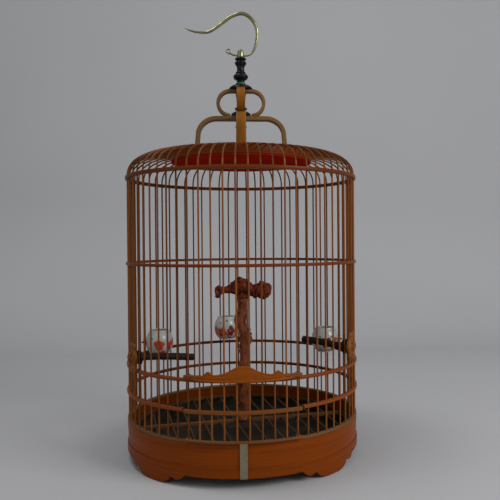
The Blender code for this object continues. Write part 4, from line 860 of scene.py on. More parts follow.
def bar_set(name, path, first, count, setback=1.0):
    """Bars along this path, from the first place on. The door's are set back from the wall's circle."""
    s = bpy.context.scene.cage_sizes
    values = {
        "Radius": s.bar_diameter / 2,
        "First Place": first,
        "Count": count,
        "Step": TURN / s.bar_count,
        "Setback Share": setback,
        "Seed": s.seed + first,
        "Finish": finish("bar_bamboo" if setback < 1.0 else "wall_bamboo"),
    }
    return grown(guide_curve(name, path), bars_tree(), values)


class CAGE_OT_wall_bars(bpy.types.Operator):
    """Build the round wall of bamboo bars"""

    bl_idname = "cage.wall_bars"
    bl_label = "Wall Bars"

    def execute(self, context):
        s = context.scene.cage_sizes
        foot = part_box("wall_bars_1")[0].z
        half = DOOR_BARS // 2
        mesh = bar_set("long_bars", bar_path(foot), half, s.bar_count - DOOR_BARS)
        banks = [f"wall_bars_{number}" for number in range(1, 8)]
        settle("long_bars", mesh, "wall_bamboo", "varnished_bamboo", *banks)
        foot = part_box("wall_bars_over_door")[0].z
        mesh = bar_set("short_bars", bar_path(foot), -half, DOOR_BARS)
        settle("short_bars", mesh, "wall_bamboo", "varnished_bamboo", "wall_bars_over_door")
        return {"FINISHED"}


class CAGE_OT_hoops(bpy.types.Operator):
    """Build the drilled hoops that the bars are threaded through"""

    bl_idname = "cage.hoops"
    bl_label = "Hoops"

    def execute(self, context):
        s = context.scene.cage_sizes
        outer, corner = 181.0 * MM, 0.9 * MM
        door_gap = math.radians(27.27)
        for number, place in enumerate(("shoulder", "waist", "door_head", "low")):
            low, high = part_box("hoop_" + place)
            middle = (low.z + high.z) / 2
            half = (s.shoulder_hoop_height if number == 0 else s.hoop_height) / 2
            section = rounded_box(outer - s.hoop_reach, outer, middle - half, middle + half, corner)
            form = Form()
            if place == "low":
                turned(form, section, 240, start=door_gap, sweep=TURN - 2 * door_gap, tone=0.3 * number)
            else:
                turned(form, section, 264, start=math.pi, tone=0.3 * number)
            # The door-head and low hoops take the finish with painted shade on their inner halves.
            wood = "hoop_bamboo" if number < 2 else "low_hoop_bamboo"
            settle(place + "_hoop", form, wood, "hoop_bamboo", "hoop_" + place)
        return {"FINISHED"}


# Base


class CAGE_OT_base(bpy.types.Operator):
    """Build the bent drum of the base with its rim, its feet and the strip on its seam"""

    bl_idname = "cage.base"
    bl_label = "Base"

    def execute(self, context):
        low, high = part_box("base_drum")
        outer, foot_outer, ledge = (v * MM for v in (180.0, 178.7, 166.0))
        bottom, top = low.z, high.z
        profile = [
            (outer - 0.8 * MM, top),
            (outer - 0.2 * MM, top - 0.3 * MM),
            (outer, top - 1.0 * MM),
            (outer, top - 3.2 * MM),
            (outer - 0.45 * MM, top - 3.6 * MM),
            (outer - 0.45 * MM, top - 4.4 * MM),
            (outer - 0.05 * MM, top - 4.9 * MM),
            (foot_outer + 0.6 * MM, bottom + 20.0 * MM),
            (foot_outer, bottom + 0.4 * MM),
            (foot_outer - 0.4 * MM, bottom),
            (ledge, bottom),
            (ledge, bottom + 4.0 * MM),
            (DRUM_INSIDE, bottom + 4.0 * MM),
            (DRUM_INSIDE, top),
        ]
        form = turned(Form(), profile, 240, tone=0.5)
        settle("drum_band", form, "drum_bamboo", "drum_wood", "base_drum")

        low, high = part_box("base_rim")
        corner = 1.0 * MM
        section = rounded_box(DRUM_INSIDE, outer, low.z - GAP, high.z, corner)
        form = turned(Form(), section, 240, start=math.pi)
        settle("pale_rim", form, "rim_bamboo", "pale_bamboo", "base_rim")

        self.feet()
        self.seam_strip()
        return {"FINISHED"}

    def feet(self):
        """The low band and the four feet that are cut from one ring: the lower edge follows the scrolls."""
        scroll = (
            (19.2, 16.7), (17.8, 13.2), (16.4, 9.8), (15.0, 8.3), (13.6, 8.3), (12.5, 9.6), (11.6, 10.4), (10.9, 9.9),
            (10.1, 6.4), (8.6, 3.4), (6.6, 1.3), (4.4, 0.2), (3.6, 0.0),
        )
        edge = [(-a, z) for a, z in scroll] + [(a, z) for a, z in reversed(scroll)]
        quarter = 90.0
        half = scroll[0][0]
        straight = 15.4 * MM
        lower = []
        for number in range(4):
            middle = quarter * (number + 0.5)
            for a, z in smooth_path(edge, 4):
                lower.append((math.radians(middle + a), max(z, 0.0) * MM))
            for i in range(1, 14):
                lower.append((math.radians(middle + half + (quarter - 2 * half) * i / 14), straight))
        rings = []
        runs = []
        outer, band_inner, top = (v * MM for v in (180.5, 179.2, 28.0))
        split = scroll[0][1] * MM
        for angle, z in lower:
            foot = z < straight - 0.1 * MM
            proud = 0.5 * MM if foot else 0.0
            back = DRUM_INSIDE if foot else band_inner
            lip = min(0.7 * MM, (outer - back) / 3)
            section = [
                (outer - 0.5 * MM, top),
                (outer - 0.05 * MM, top - 0.5 * MM),
                (outer, top - 1.4 * MM),
                (outer, split + 2.0 * MM),
                (outer + proud, split - 1.6 * MM),
                (outer + proud, z + lip),
                (outer + proud - lip, z),
                (back + lip * 0.5, z),
                (back, z + lip * 0.5),
                (back, split - 0.2 * MM if foot else split),
                (band_inner, split),
                (band_inner, top),
            ]
            rings.append([tuple(around(angle, r, h)) for r, h in section])
            runs.append([(angle * outer, r, h) for r, h in section])
        count = len(rings)

        def run(i, k):
            x, y, z = runs[i % count][k % len(runs[0])]
            return (x + (TURN * outer if i == count else 0.0), y, z)

        form = rings_form(Form(), rings, run, 0.35, closed=True)
        settle("foot_band", form, "drum_bamboo", "drum_wood", "foot_ring")

    def seam_strip(self):
        """The metal strip folded over the rim and under the band, with a raised edge on either side."""
        low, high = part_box("seam_clip")
        face = -low.y
        fold = face - 7.0 * MM
        bend = 1.2 * MM
        middle = face - bend
        straight = high.z - low.z - 2 * bend
        corner = [(math.sin(math.pi / 2 * i / 6), math.cos(math.pi / 2 * i / 6)) for i in range(7)]
        path = [(-fold, high.z, 1.0, 0.0)]
        path += [(-middle - bend * across, high.z - bend + bend * up, up, -across) for across, up in corner]
        path += [(-face, high.z - bend - straight * i / 12, 0.0, -1.0) for i in range(1, 12)]
        path += [(-middle - bend * across, low.z + bend - bend * down, -down, -across) for down, across in corner]
        path.append((-fold, low.z, -1.0, 0.0))
        half = (high.x - low.x) / 2
        thin = 0.5 * MM
        hollow = -0.12 * MM
        edge, slope = half - 0.4 * MM, half - 1.2 * MM
        shape = (
            (-half, 0.0), (-edge, 0.0), (-slope, hollow), (slope, hollow), (edge, 0.0), (half, 0.0),
            (half, -thin), (-half, -thin),
        )
        rings = [[(x, y + back * depth, z + up * depth) for x, depth in shape] for y, z, up, back in path]
        form = rings_form(Form(), rings, lambda i, k: (path[i][1], *shape[k % len(shape)]))
        settle("seam_strip", form, "strip_metal", "clip_metal", "seam_clip")


class CAGE_OT_floor(bpy.types.Operator):
    """Build the droppings tray and the bamboo lattice over it"""

    bl_idname = "cage.floor"
    bl_label = "Floor"

    def execute(self, context):
        s = context.scene.cage_sizes
        low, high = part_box("droppings_tray")
        outer, inner = DRUM_INSIDE - GAP, 169.7 * MM
        profile = [
            (0.0, low.z),
            (outer - 1.0 * MM, low.z),
            (outer, low.z + 1.0 * MM),
            (outer, high.z - 0.6 * MM),
            (outer - 0.6 * MM, high.z),
            (inner + 0.6 * MM, high.z),
            (inner, high.z - 0.6 * MM),
            (inner, low.z + 4.0 * MM),
            (inner - 2.0 * MM, low.z + 2.0 * MM),
            (0.0, low.z + 2.0 * MM),
        ]
        form = turned(Form(), profile, 160, fibre="flat")
        settle("tray", form, "tray_paint", "tray_dark", "droppings_tray")

        low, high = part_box("floor_grid")
        middle = (low.z + high.z) / 2
        reach = outer
        ring_width, ring_corner, slat_corner = 5.5 * MM, 0.8 * MM, 0.5 * MM
        section = rounded_box(reach - ring_width, reach, low.z, high.z, ring_corner)
        ring = turned(Form(), section, 200, start=math.pi).mesh("lattice_ring")
        unit = Form()
        cube(unit, Matrix.Rotation(math.pi / 2, 4, "Z"), (2.0, s.slat_width, s.slat_width), slat_corner)
        unit_slat = bpy.data.objects.new("slat", unit.mesh("slat"))
        values = {
            "Count": s.slat_count,
            "Pitch": s.slat_pitch,
            "Reach": reach - ring_width / 2,
            "Level": middle,
            "Turn": s.floor_turn,
            "Seed": s.seed,
            "Finish": finish("slat_bamboo"),
        }
        slats = grown(unit_slat, slats_tree(), values)
        joined = bmesh.new()
        joined.from_mesh(ring)
        joined.from_mesh(slats)
        lattice = bpy.data.meshes.new("floor_lattice")
        joined.to_mesh(lattice)
        joined.free()
        settle("floor_lattice", lattice, "slat_bamboo", "pale_bamboo", "floor_grid")

        low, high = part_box("floor_crossbar")
        form = Form()
        short_by, width, corner = 2.0 * MM, 7.0 * MM, 0.8 * MM
        size = (2 * (reach - short_by), width, high.z - low.z)
        place = Matrix.Rotation(s.floor_turn, 4, "Z") @ Matrix.Translation((0.0, 0.0, (low.z + high.z) / 2))
        cube(form, place, size, corner, 0.6)
        settle("crossbar", form, "slat_bamboo", "pale_bamboo", "floor_crossbar")
        return {"FINISHED"}


# Crown and handle


class CAGE_OT_crown(bpy.types.Operator):
    """Build the crown that holds the upper ends of the bars"""

    bl_idname = "cage.crown"
    bl_label = "Crown"

    def execute(self, context):
        board_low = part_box("crown_board")[0].z
        cover_low, cover_high = (corner.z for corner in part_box("crown_cover"))
        lining_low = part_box("crown_lining")[0].z
        outer = 111.3 * MM
        profile = [
            (ROD_BORE, board_low),
            (outer - 0.5 * MM, board_low),
            (outer, board_low + 0.5 * MM),
            (outer, board_low + 2.4 * MM),
            (outer - 0.35 * MM, board_low + 2.8 * MM),
            (outer - 0.35 * MM, board_low + 3.3 * MM),
            (outer, board_low + 3.7 * MM),
            (outer, cover_low - 0.5 * MM),
            (outer - 0.4 * MM, cover_low - 0.1 * MM),
            (ROD_BORE, cover_low - 0.1 * MM),
        ]
        form = turned(Form(), profile, 180, start=math.pi)
        settle("crown_band", form, "crown_wood", "crown_wood", "crown_board")
        profile = [
            (ROD_BORE, cover_low),
            (outer - 0.3 * MM, cover_low),
            (outer - 0.1 * MM, cover_low + 0.4 * MM),
            (outer - 1.0 * MM, cover_high - 0.2 * MM),
            (outer - 2.0 * MM, cover_high),
            (ROD_BORE, cover_high),
        ]
        form = turned(Form(), profile, 180, start=math.pi, fibre="flat")
        settle("crown_lid", form, "crown_wood", "crown_wood", "crown_cover")
        profile = [
            (ROD_BORE, board_low - 0.1 * MM),
            (ROD_BORE, lining_low),
            (outer - 0.6 * MM, lining_low),
            (outer - 0.2 * MM, lining_low + 0.2 * MM),
            (outer - 1.8 * MM, board_low - 0.1 * MM),
        ]
        form = turned(Form(), profile, 180, start=math.pi, fibre="flat")
        settle("red_lining", form, "red_lacquer", "red_lacquer", "crown_lining")
        return {"FINISHED"}


class CAGE_OT_handle(bpy.types.Operator):
    """Build the crossed arches and loops of the handle"""

    bl_idname = "cage.handle"
    bl_label = "Handle Strips"

    def execute(self, context):
        s = context.scene.cage_sizes
        sunk, arch_corner, loop_corner = 6.0 * MM, 0.9 * MM, 0.8 * MM
        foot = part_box("crown_cover")[1].z - sunk
        sides = (("side_to_side", 0.0, True), ("front_to_back", math.pi / 2, False))
        for side, turn, upper in sides:
            low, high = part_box("handle_arch_" + side)
            half = s.handle_width / 2
            stations = self.arch(max(high.x, high.y), foot, high.z - s.arch_drop, half, upper)
            form = bent_strip(Form(), stations, half, arch_corner, turn, 0.2 + turn)
            settle(f"arch_{side}_strip", form, "strip_bamboo", "handle_wood", "handle_arch_" + side)
        for side, turn, upper in sides:
            low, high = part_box("handle_loop_" + side)
            half = s.loop_width / 2
            stations = self.loop(low.z - s.arch_drop, high.z, half, upper)
            form = bent_strip(Form(), stations, half, loop_corner, turn, 0.5 + turn)
            settle(f"loop_{side}_strip", form, "strip_bamboo", "handle_wood", "handle_loop_" + side)
        return {"FINISHED"}

    def lapped(self, level, half, width, upper):
        """The straight top of a strip: half its thickness gives way where it crosses its fellow."""
        lap = width + 0.05 * MM
        kept = (-half, -0.02 * MM) if upper else (0.02 * MM, half)
        way = (1.0, 0.0)
        return [
            ((-lap, level), way, -half, half),
            ((-lap, level), way, *kept),
            ((lap, level), way, *kept),
            ((lap, level), way, -half, half),
        ]

    def mirrored(self, right, level, half, width, upper):
        """The whole strip from its right side: the left one, the lapped top and the right one."""
        left = [((-x, z), (dx, -dz), low, high) for (x, z), (dx, dz), low, high in reversed(right)]
        return left + self.lapped(level, half, width, upper) + right

    def arch(self, span, foot, top, width, upper):
        """One wide arch: a flat top, round corners and legs that spread a little towards the crown."""
        half = 3.4 * MM
        lean = 3.0 * MM
        span += 1.6 * MM  # the strips stand a little wider than the CAD's
        wide, high = 33.0 * MM - half, 30.0 * MM - half
        middle = (span - lean - half - wide, top - half - high)
        right = []
        for i in range(19):
            turn = math.pi / 2 * (1 - i / 18)
            way = Vector((wide * math.sin(turn), -high * math.cos(turn))).normalized()
            point = (middle[0] + wide * math.cos(turn), middle[1] + high * math.sin(turn))
            right.append((point, (way.x, way.y), -half, half))
        for share in (0.35, 0.7, 1.0):
            z = middle[1] + (foot - middle[1]) * share
            right.append(((span - half - lean * (1 - share), z), (0.0, -1.0), -half, half))
        return self.mirrored(right, top - half, half, width, upper)

    def loop(self, foot, top, width, upper):
        """One small loop: a flat top and round sides that stand on the arches with a flat foot."""
        half = 2.6 * MM
        radius = 22.0 * MM
        centre = (16.9 * MM, top - radius)
        right = []
        for i in range(41):
            turn = math.pi / 2 - math.pi * i / 40
            middle = radius - half
            point = (centre[0] + middle * math.cos(turn), centre[1] + middle * math.sin(turn))
            reach = radius
            if math.sin(turn) < 0 and radius * -math.sin(turn) > centre[1] - foot:
                reach = (centre[1] - foot) / -math.sin(turn)
            right.append((point, (math.sin(turn), -math.cos(turn)), -half, reach - middle))
        return self.mirrored(right, top - half, half, width, upper)


class CAGE_OT_turned_stack(bpy.types.Operator):
    """Build the turned pieces threaded on the handle's rod"""

    bl_idname = "cage.turned_stack"
    bl_label = "Turned Stack"

    def execute(self, context):
        lower = (
            (0.95, 1.00), (1.02, 0.965), (1.00, 0.93), (0.74, 0.90), (0.72, 0.87), (1.02, 0.84), (1.12, 0.80),
            (1.02, 0.76), (0.72, 0.73), (0.80, 0.68), (0.95, 0.60), (1.03, 0.45), (1.00, 0.30), (0.80, 0.12),
            (0.82, 0.09), (1.18, 0.07), (1.22, 0.045), (1.18, 0.00),
        )
        middle = (
            (0.92, 1.00), (1.00, 0.97), (1.00, 0.90), (0.90, 0.75), (0.85, 0.50), (0.80, 0.38), (1.12, 0.34),
            (1.24, 0.30), (1.12, 0.26), (0.85, 0.22), (1.00, 0.19), (1.35, 0.16), (1.75, 0.11), (1.96, 0.05),
            (1.93, 0.00),
        )
        dome = (
            (0.34, 1.00), (0.50, 0.965), (0.66, 0.87), (0.80, 0.69), (0.92, 0.44), (1.00, 0.16), (0.99, 0.05),
            (0.95, 0.00),
        )
        finial = (
            (0.42, 1.00), (0.66, 1.00), (0.76, 0.965), (0.75, 0.93), (0.57, 0.90), (0.56, 0.87), (0.74, 0.835),
            (0.80, 0.79), (0.74, 0.74), (0.62, 0.69), (0.53, 0.63), (0.50, 0.54), (0.54, 0.46), (0.66, 0.42),
            (0.68, 0.39), (0.66, 0.37), (0.84, 0.33), (1.00, 0.27), (1.00, 0.22), (0.88, 0.15), (0.62, 0.10),
            (0.50, 0.07), (0.56, 0.03), (0.58, 0.00),
        )
        sets = (
            ("spindle_lower", "lower_spindle", lower, 8.0),
            ("spindle_middle", "middle_spindle", middle, 8.0),
            ("dome_cap", "horn_dome", dome, 18.8),
            ("finial", "horn_finial", finial, 11.7),
        )
        settled = 2.8 * MM  # the finial, the washer and the cap's top sit this much lower than the CAD's
        for node, name, shares, radius in sets:
            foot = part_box(node)[0].z - (settled if node == "finial" else 0.0)
            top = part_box(node)[1].z - (settled if node in ("finial", "dome_cap") else 0.0)
            inner = 4.9 * MM if node == "finial" else ROD_BORE
            thinnest = inner + 0.2 * MM
            skin = [(max(r * radius * MM, thinnest), foot + z * (top - foot)) for r, z in smooth_path(shares, 4)]
            form = turned(Form(), [(inner, top), *skin, (inner, foot)], 48, fibre="up")
            settle(name, form, "dark_horn", "dark_horn", node)
        low, high = (corner.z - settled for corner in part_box("jade_washer"))
        middle = (low + high) / 2
        half = (high - low) / 2
        waist, bulge = 6.6 * MM, 1.4 * MM
        profile = [(ROD_BORE, low)]
        for i in range(13):
            turn = math.pi * (i / 12 - 0.5)
            profile.append((waist + bulge * math.cos(turn), middle + half * math.sin(turn)))
        profile.append((ROD_BORE, high))
        form = turned(Form(), profile, 48, fibre="up")
        settle("stone_washer", form, "green_stone", "jade", "jade_washer")
        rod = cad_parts["tie_rod"]
        rod.data.materials.clear()
        rod.data.materials.append(finish("brass"))
        return {"FINISHED"}


HOOK_WIRE = (
    (-1.333, 0.636, 0.14), (-1.171, 0.573, 0.50), (-0.979, 0.544, 0.66), (-0.802, 0.548, 0.76),
    (-0.652, 0.612, 0.84), (-0.452, 0.758, 0.92), (-0.229, 0.921, 0.98), (-0.008, 1.000, 1.00),
    (0.145, 0.971, 1.00), (0.288, 0.859, 0.96), (0.377, 0.700, 0.90), (0.407, 0.536, 0.82),
    (0.388, 0.350, 0.74), (0.340, 0.178, 0.64), (0.262, 0.058, 0.54), (0.150, 0.004, 0.48),
    (0.000, 0.000, 0.46), (-0.090, 0.003, 0.45), (-0.170, 0.018, 0.44), (-0.235, 0.044, 0.42),
    (-0.290, 0.056, 0.40), (-0.332, 0.080, 0.40), (-0.338, 0.120, 0.38), (-0.302, 0.150, 0.38),
    (-0.258, 0.138, 0.36), (-0.242, 0.104, 0.34), (-0.254, 0.080, 0.30),
)


class CAGE_OT_hook(bpy.types.Operator):
    """Build the brass hook and the post that it turns on"""

    bl_idname = "cage.hook"
    bl_label = "Hook"

    def execute(self, context):
        level, reach, rise, wire = (v * MM for v in (626.4, 66.0, 67.1, 3.0))
        points = [(x * reach, 0.0, level + z * rise, r * wire) for x, z, r in HOOK_WIRE]
        form = path_stick(Form(), smooth_path(points, 6), 20)
        settle("hook_wire", form, "brass", "brass", "hook", body="hanger")
        low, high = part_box("swivel_post")
        seat = 623.2 * MM
        rise = high.z - seat
        shares = (
            (0.20, 1.00), (0.45, 0.975), (0.68, 0.90), (0.86, 0.77), (0.97, 0.58), (1.00, 0.36), (1.00, 0.12),
            (0.90, 0.02), (0.88, 0.00),
        )
        widest, stem = 5.3 * MM, 4.5 * MM
        skin = [(r * widest, seat + z * rise) for r, z in smooth_path(shares, 3)]
        profile = [(0.0, high.z), *skin, (stem, seat), (stem, low.z), (0.0, low.z)]
        form = turned(Form(), profile, 40, fibre="up")
        settle("hook_post", form, "brass", "brass", "swivel_post", body="hanger")
        return {"FINISHED"}


# Door


class CAGE_OT_door(bpy.types.Operator):
    """Build the lifting door: its rails, its bars and its carved plate"""

    bl_idname = "cage.door"
    bl_label = "Door"

    def execute(self, context):
        s = context.scene.cage_sizes
        guide = GUIDE_PLACES * TURN / s.bar_count
        for name, inner, eyes in (("foot", 181.7, True), ("middle", 181.7, False), ("head", 178.9, True)):
            self.rail(name + "_rail", s.wall_radius, guide, inner * MM, eyes)
        low, high = (corner.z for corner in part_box("door_bar_1"))
        radius = 183.1 * MM
        path = [(0.0, -radius, low + (high - low) * i / 6) for i in range(7)]
        mesh = bar_set("door_bars", path, -DOOR_BARS // 2, DOOR_BARS, s.wall_radius / radius)
        bars = [f"door_bar_{number}" for number in range(1, DOOR_BARS + 1)]
        settle("door_bars", mesh, "bar_bamboo", "varnished_bamboo", *bars, body="door")
        self.plate(s.carving_depth * 0.9)
        return {"FINISHED"}

    def rail(self, name, wall, guide, inner, eyes):
        """A bowed rail, with an eye round the guide bar at each end where it has eyes."""
        low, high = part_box("door_" + name)
        outer, past_guide, corner = 185.9 * MM, 2.8 * MM, 0.7 * MM
        eye_bore, eye_outside, eye_corner = 1.9 * MM, 3.4 * MM, 0.4 * MM
        web_reach, web_length, web_width, web_sunk, web_corner = (v * MM for v in (181.4, 5.0, 2.6, 0.2, 0.5))
        end = guide + past_guide / wall
        section = rounded_box(inner, outer, low.z, high.z, corner)
        form = turned(Form(), section, 48, start=-end, sweep=2 * end, tone=0.35)
        for side in (-1, 1) if eyes else ():
            spot = around(side * guide, wall)
            ring = rounded_box(eye_bore, eye_outside, low.z, high.z, eye_corner)
            turned(form, ring, 24, centre=(spot.x, spot.y), tone=0.7)
            place = Matrix.Translation(around(side * guide, web_reach, (low.z + high.z) / 2))
            place = place @ Matrix.Rotation(side * guide, 4, "Z")
            cube(form, place, (web_length, web_width, high.z - low.z - web_sunk), web_corner, 0.7)
        settle(name, form, "bar_bamboo", "varnished_bamboo", "door_" + name, body="door")

    def carved(self, carve, x, share, edge_low, edge_high, tall, half, thick):
        """How far the plate's face stands out, at this share of the way up from its lower to its upper edge."""
        end_margin, border, low_line, high_line, line_width, curl_margin, thinnest = (
            v * MM for v in (0.4, 1.1, 3.6, 2.6, 0.7, 3.0, 0.4)
        )
        span = (edge_high - edge_low) * tall
        gap = min(min(share, 1 - share) * span, (1.0 - abs(x)) * half + end_margin)
        rounding = 1.0 - min(gap / border, 1.0)
        rise = thick - carve * (1.0 - math.sqrt(1.0 - rounding**2))
        height = edge_low + (max(edge_high, edge_low + 0.02) - edge_low) * share
        for line in ((height - edge_low) * tall - low_line, (edge_high - height) * tall - high_line):
            rise -= carve * math.exp(-((line / line_width) ** 2))
        if gap > curl_margin:
            curl = math.cos(38.0 * x) * math.exp(-((height - 0.36) ** 2) / 0.02)
            rise -= carve / 3 * max(curl, 0.0)
        return max(rise, thinnest)

    def plate(self, carve):
        """A bowed board whose upper edge is cut to scrolls and knobs, with a raised border and a moulding."""
        low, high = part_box("door_plate")
        bottom, tall = low.z, high.z - low.z
        half, inner, thick = 69.2 * MM, 186.2 * MM, 3.0 * MM
        top = (
            (0.00, 1.00), (0.08, 0.98), (0.16, 0.90), (0.23, 0.78), (0.31, 0.65), (0.39, 0.56), (0.48, 0.49),
            (0.56, 0.47), (0.615, 0.55), (0.66, 0.66), (0.70, 0.63), (0.745, 0.49), (0.80, 0.40), (0.88, 0.31),
            (0.96, 0.21), (1.00, 0.13),
        )
        crest = smooth_path([(-x, z) for x, z in reversed(top)][:-1] + list(top), 6)
        rows = 14
        points = []
        fibre = []
        for face_depth in (False, True):
            for x, z in crest:
                z_low = 0.12 * abs(x) ** 4
                for row in range(rows + 1):
                    share = row / rows
                    height = (z_low + (max(z, z_low + 0.02) - z_low) * share) * tall
                    depth = self.carved(carve, x, share, z_low, z, tall, half, thick) if face_depth else 0.0
                    across = x * half
                    angle = math.asin(across / (inner + thick / 2))
                    points.append(tuple(around(angle, inner + depth, bottom + height)))
                    fibre.append((across, depth, height))
        columns = len(crest)
        stride = rows + 1
        sheet = columns * stride
        faces = []
        for c in range(columns - 1):
            for r in range(rows):
                a = c * stride + r
                faces.append([a, a + stride, a + stride + 1, a + 1])
                faces.append([sheet + a, sheet + a + 1, sheet + a + stride + 1, sheet + a + stride])
            a, b = c * stride, (c + 1) * stride
            faces.append([a, sheet + a, sheet + b, b])
            faces.append([a + rows, b + rows, sheet + b + rows, sheet + a + rows])
        for c, flip in ((0, False), (columns - 1, True)):
            for r in range(rows):
                a = c * stride + r
                face = [a, a + 1, sheet + a + 1, sheet + a]
                faces.append(face[::-1] if flip else face)
        form = Form().add(points, faces, [[fibre[i] for i in face] for face in faces], 0.6)
        settle("carved_plate", form, "plate_bamboo", "plate_wood", "door_plate", body="door", sharp=50.0)


# Cups, perches and stand


class CAGE_OT_cups(bpy.types.Operator):
    """Build the porcelain cups and the pins that hold them to the wall"""

    bl_idname = "cage.cups"
    bl_label = "Cups"

    def execute(self, context):
        s = context.scene.cage_sizes
        step = TURN / s.bar_count
        for number, (side, place) in enumerate((("left", -21), ("right", 21), ("rear", -31))):
            self.cup(side, s.wall_radius, place * step, step, number)
        return {"FINISHED"}

    def cup(self, side, wall, angle, step, number):
        """One cup against two bars, with its lug between them and the pin outside that holds it."""
        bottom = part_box("cup_" + side)[0].z
        radius, tall = 22.5 * MM, 41.0 * MM
        outer = (
            (0.69, 1.000), (0.715, 0.992), (0.73, 0.97), (0.80, 0.90), (0.935, 0.75), (1.00, 0.58), (1.00, 0.42),
            (0.950, 0.28), (0.84, 0.15), (0.72, 0.075), (0.66, 0.05), (0.645, 0.03), (0.635, 0.00),
        )
        foot = ((0.56, 0.0), (0.54, 0.03), (0.0, 0.035))
        inner = (
            (0.00, 0.10), (0.40, 0.105), (0.66, 0.16), (0.80, 0.27), (0.88, 0.40), (0.86, 0.62), (0.70, 0.88),
            (0.65, 0.985),
        )
        to_bar = radius + 1.8 * MM  # the cup's own radius, a bar's and a little air
        reach = wall * math.cos(step / 2) - math.sqrt(to_bar**2 - (wall * math.sin(step / 2)) ** 2)
        spot = around(angle, reach, bottom)
        outside = smooth_path(outer, 3)
        shares = [*outside, *foot, *smooth_path(inner, 3)]
        profile = [(max(r, 0.0) * radius, z * tall + bottom) for r, z in shares]
        sides = 96
        centre = (spot.x, spot.y)
        form = turned(Form(), profile, sides, centre=centre, start=angle + math.pi, fibre="up")
        out = around(angle, 1.0)
        past_wall, past_pin, lug_width, lug_height, lug_corner = (v * MM for v in (3.3, 3.6, 8.0, 9.0, 1.6))
        lug_start = radius * 0.94
        pin_reach = wall + past_wall - reach
        lug_end = pin_reach + past_pin
        lug_level = 20.0 * MM
        level = spot + Vector((0.0, 0.0, lug_level))
        place = Matrix.Translation(level + out * (lug_start + lug_end) / 2)
        place = place @ Matrix.Rotation(angle - math.pi / 2, 4, "Z")
        cube(form, place, (lug_end - lug_start, lug_width, lug_height), lug_corner)
        name = side + "_cup"
        mesh = form.mesh(name)
        wrap = mesh.uv_layers.new(name="wrap")
        skin = len(outside) * sides

        def turn_of(p):
            x, y = p.x - spot.x, p.y - spot.y
            return math.atan2(x * out.y - y * out.x, x * out.x + y * out.y)

        for face in mesh.polygons:
            middle = turn_of(face.center)
            painted = all(i < skin for i in face.vertices)
            for index, vertex in zip(face.loop_indices, face.vertices):
                p = mesh.vertices[vertex].co
                turn = turn_of(p)
                turn -= TURN * round((turn - middle) / TURN)
                wrap.data[index].uv = (turn * radius + 0.31 * number, p.z - bottom if painted else 0.0)
        settle(name, mesh, "porcelain", "porcelain", "cup_" + side)
        half_pin = 13.0 * MM
        across = Vector((-out.y, out.x, 0.0)) * half_pin
        ends = [level + out * pin_reach + across * t for t in (-1.0, -0.97, -0.4, 0.2, 0.97, 1.0)]
        pin = stick(Form(), ends, [r * MM for r in (1.1, 1.5, 1.5, 1.5, 1.5, 1.1)], 12, tone=0.4 + 0.2 * number)
        settle(name + "_pin", pin, "bar_bamboo", "varnished_bamboo", "cup_pin_" + side)


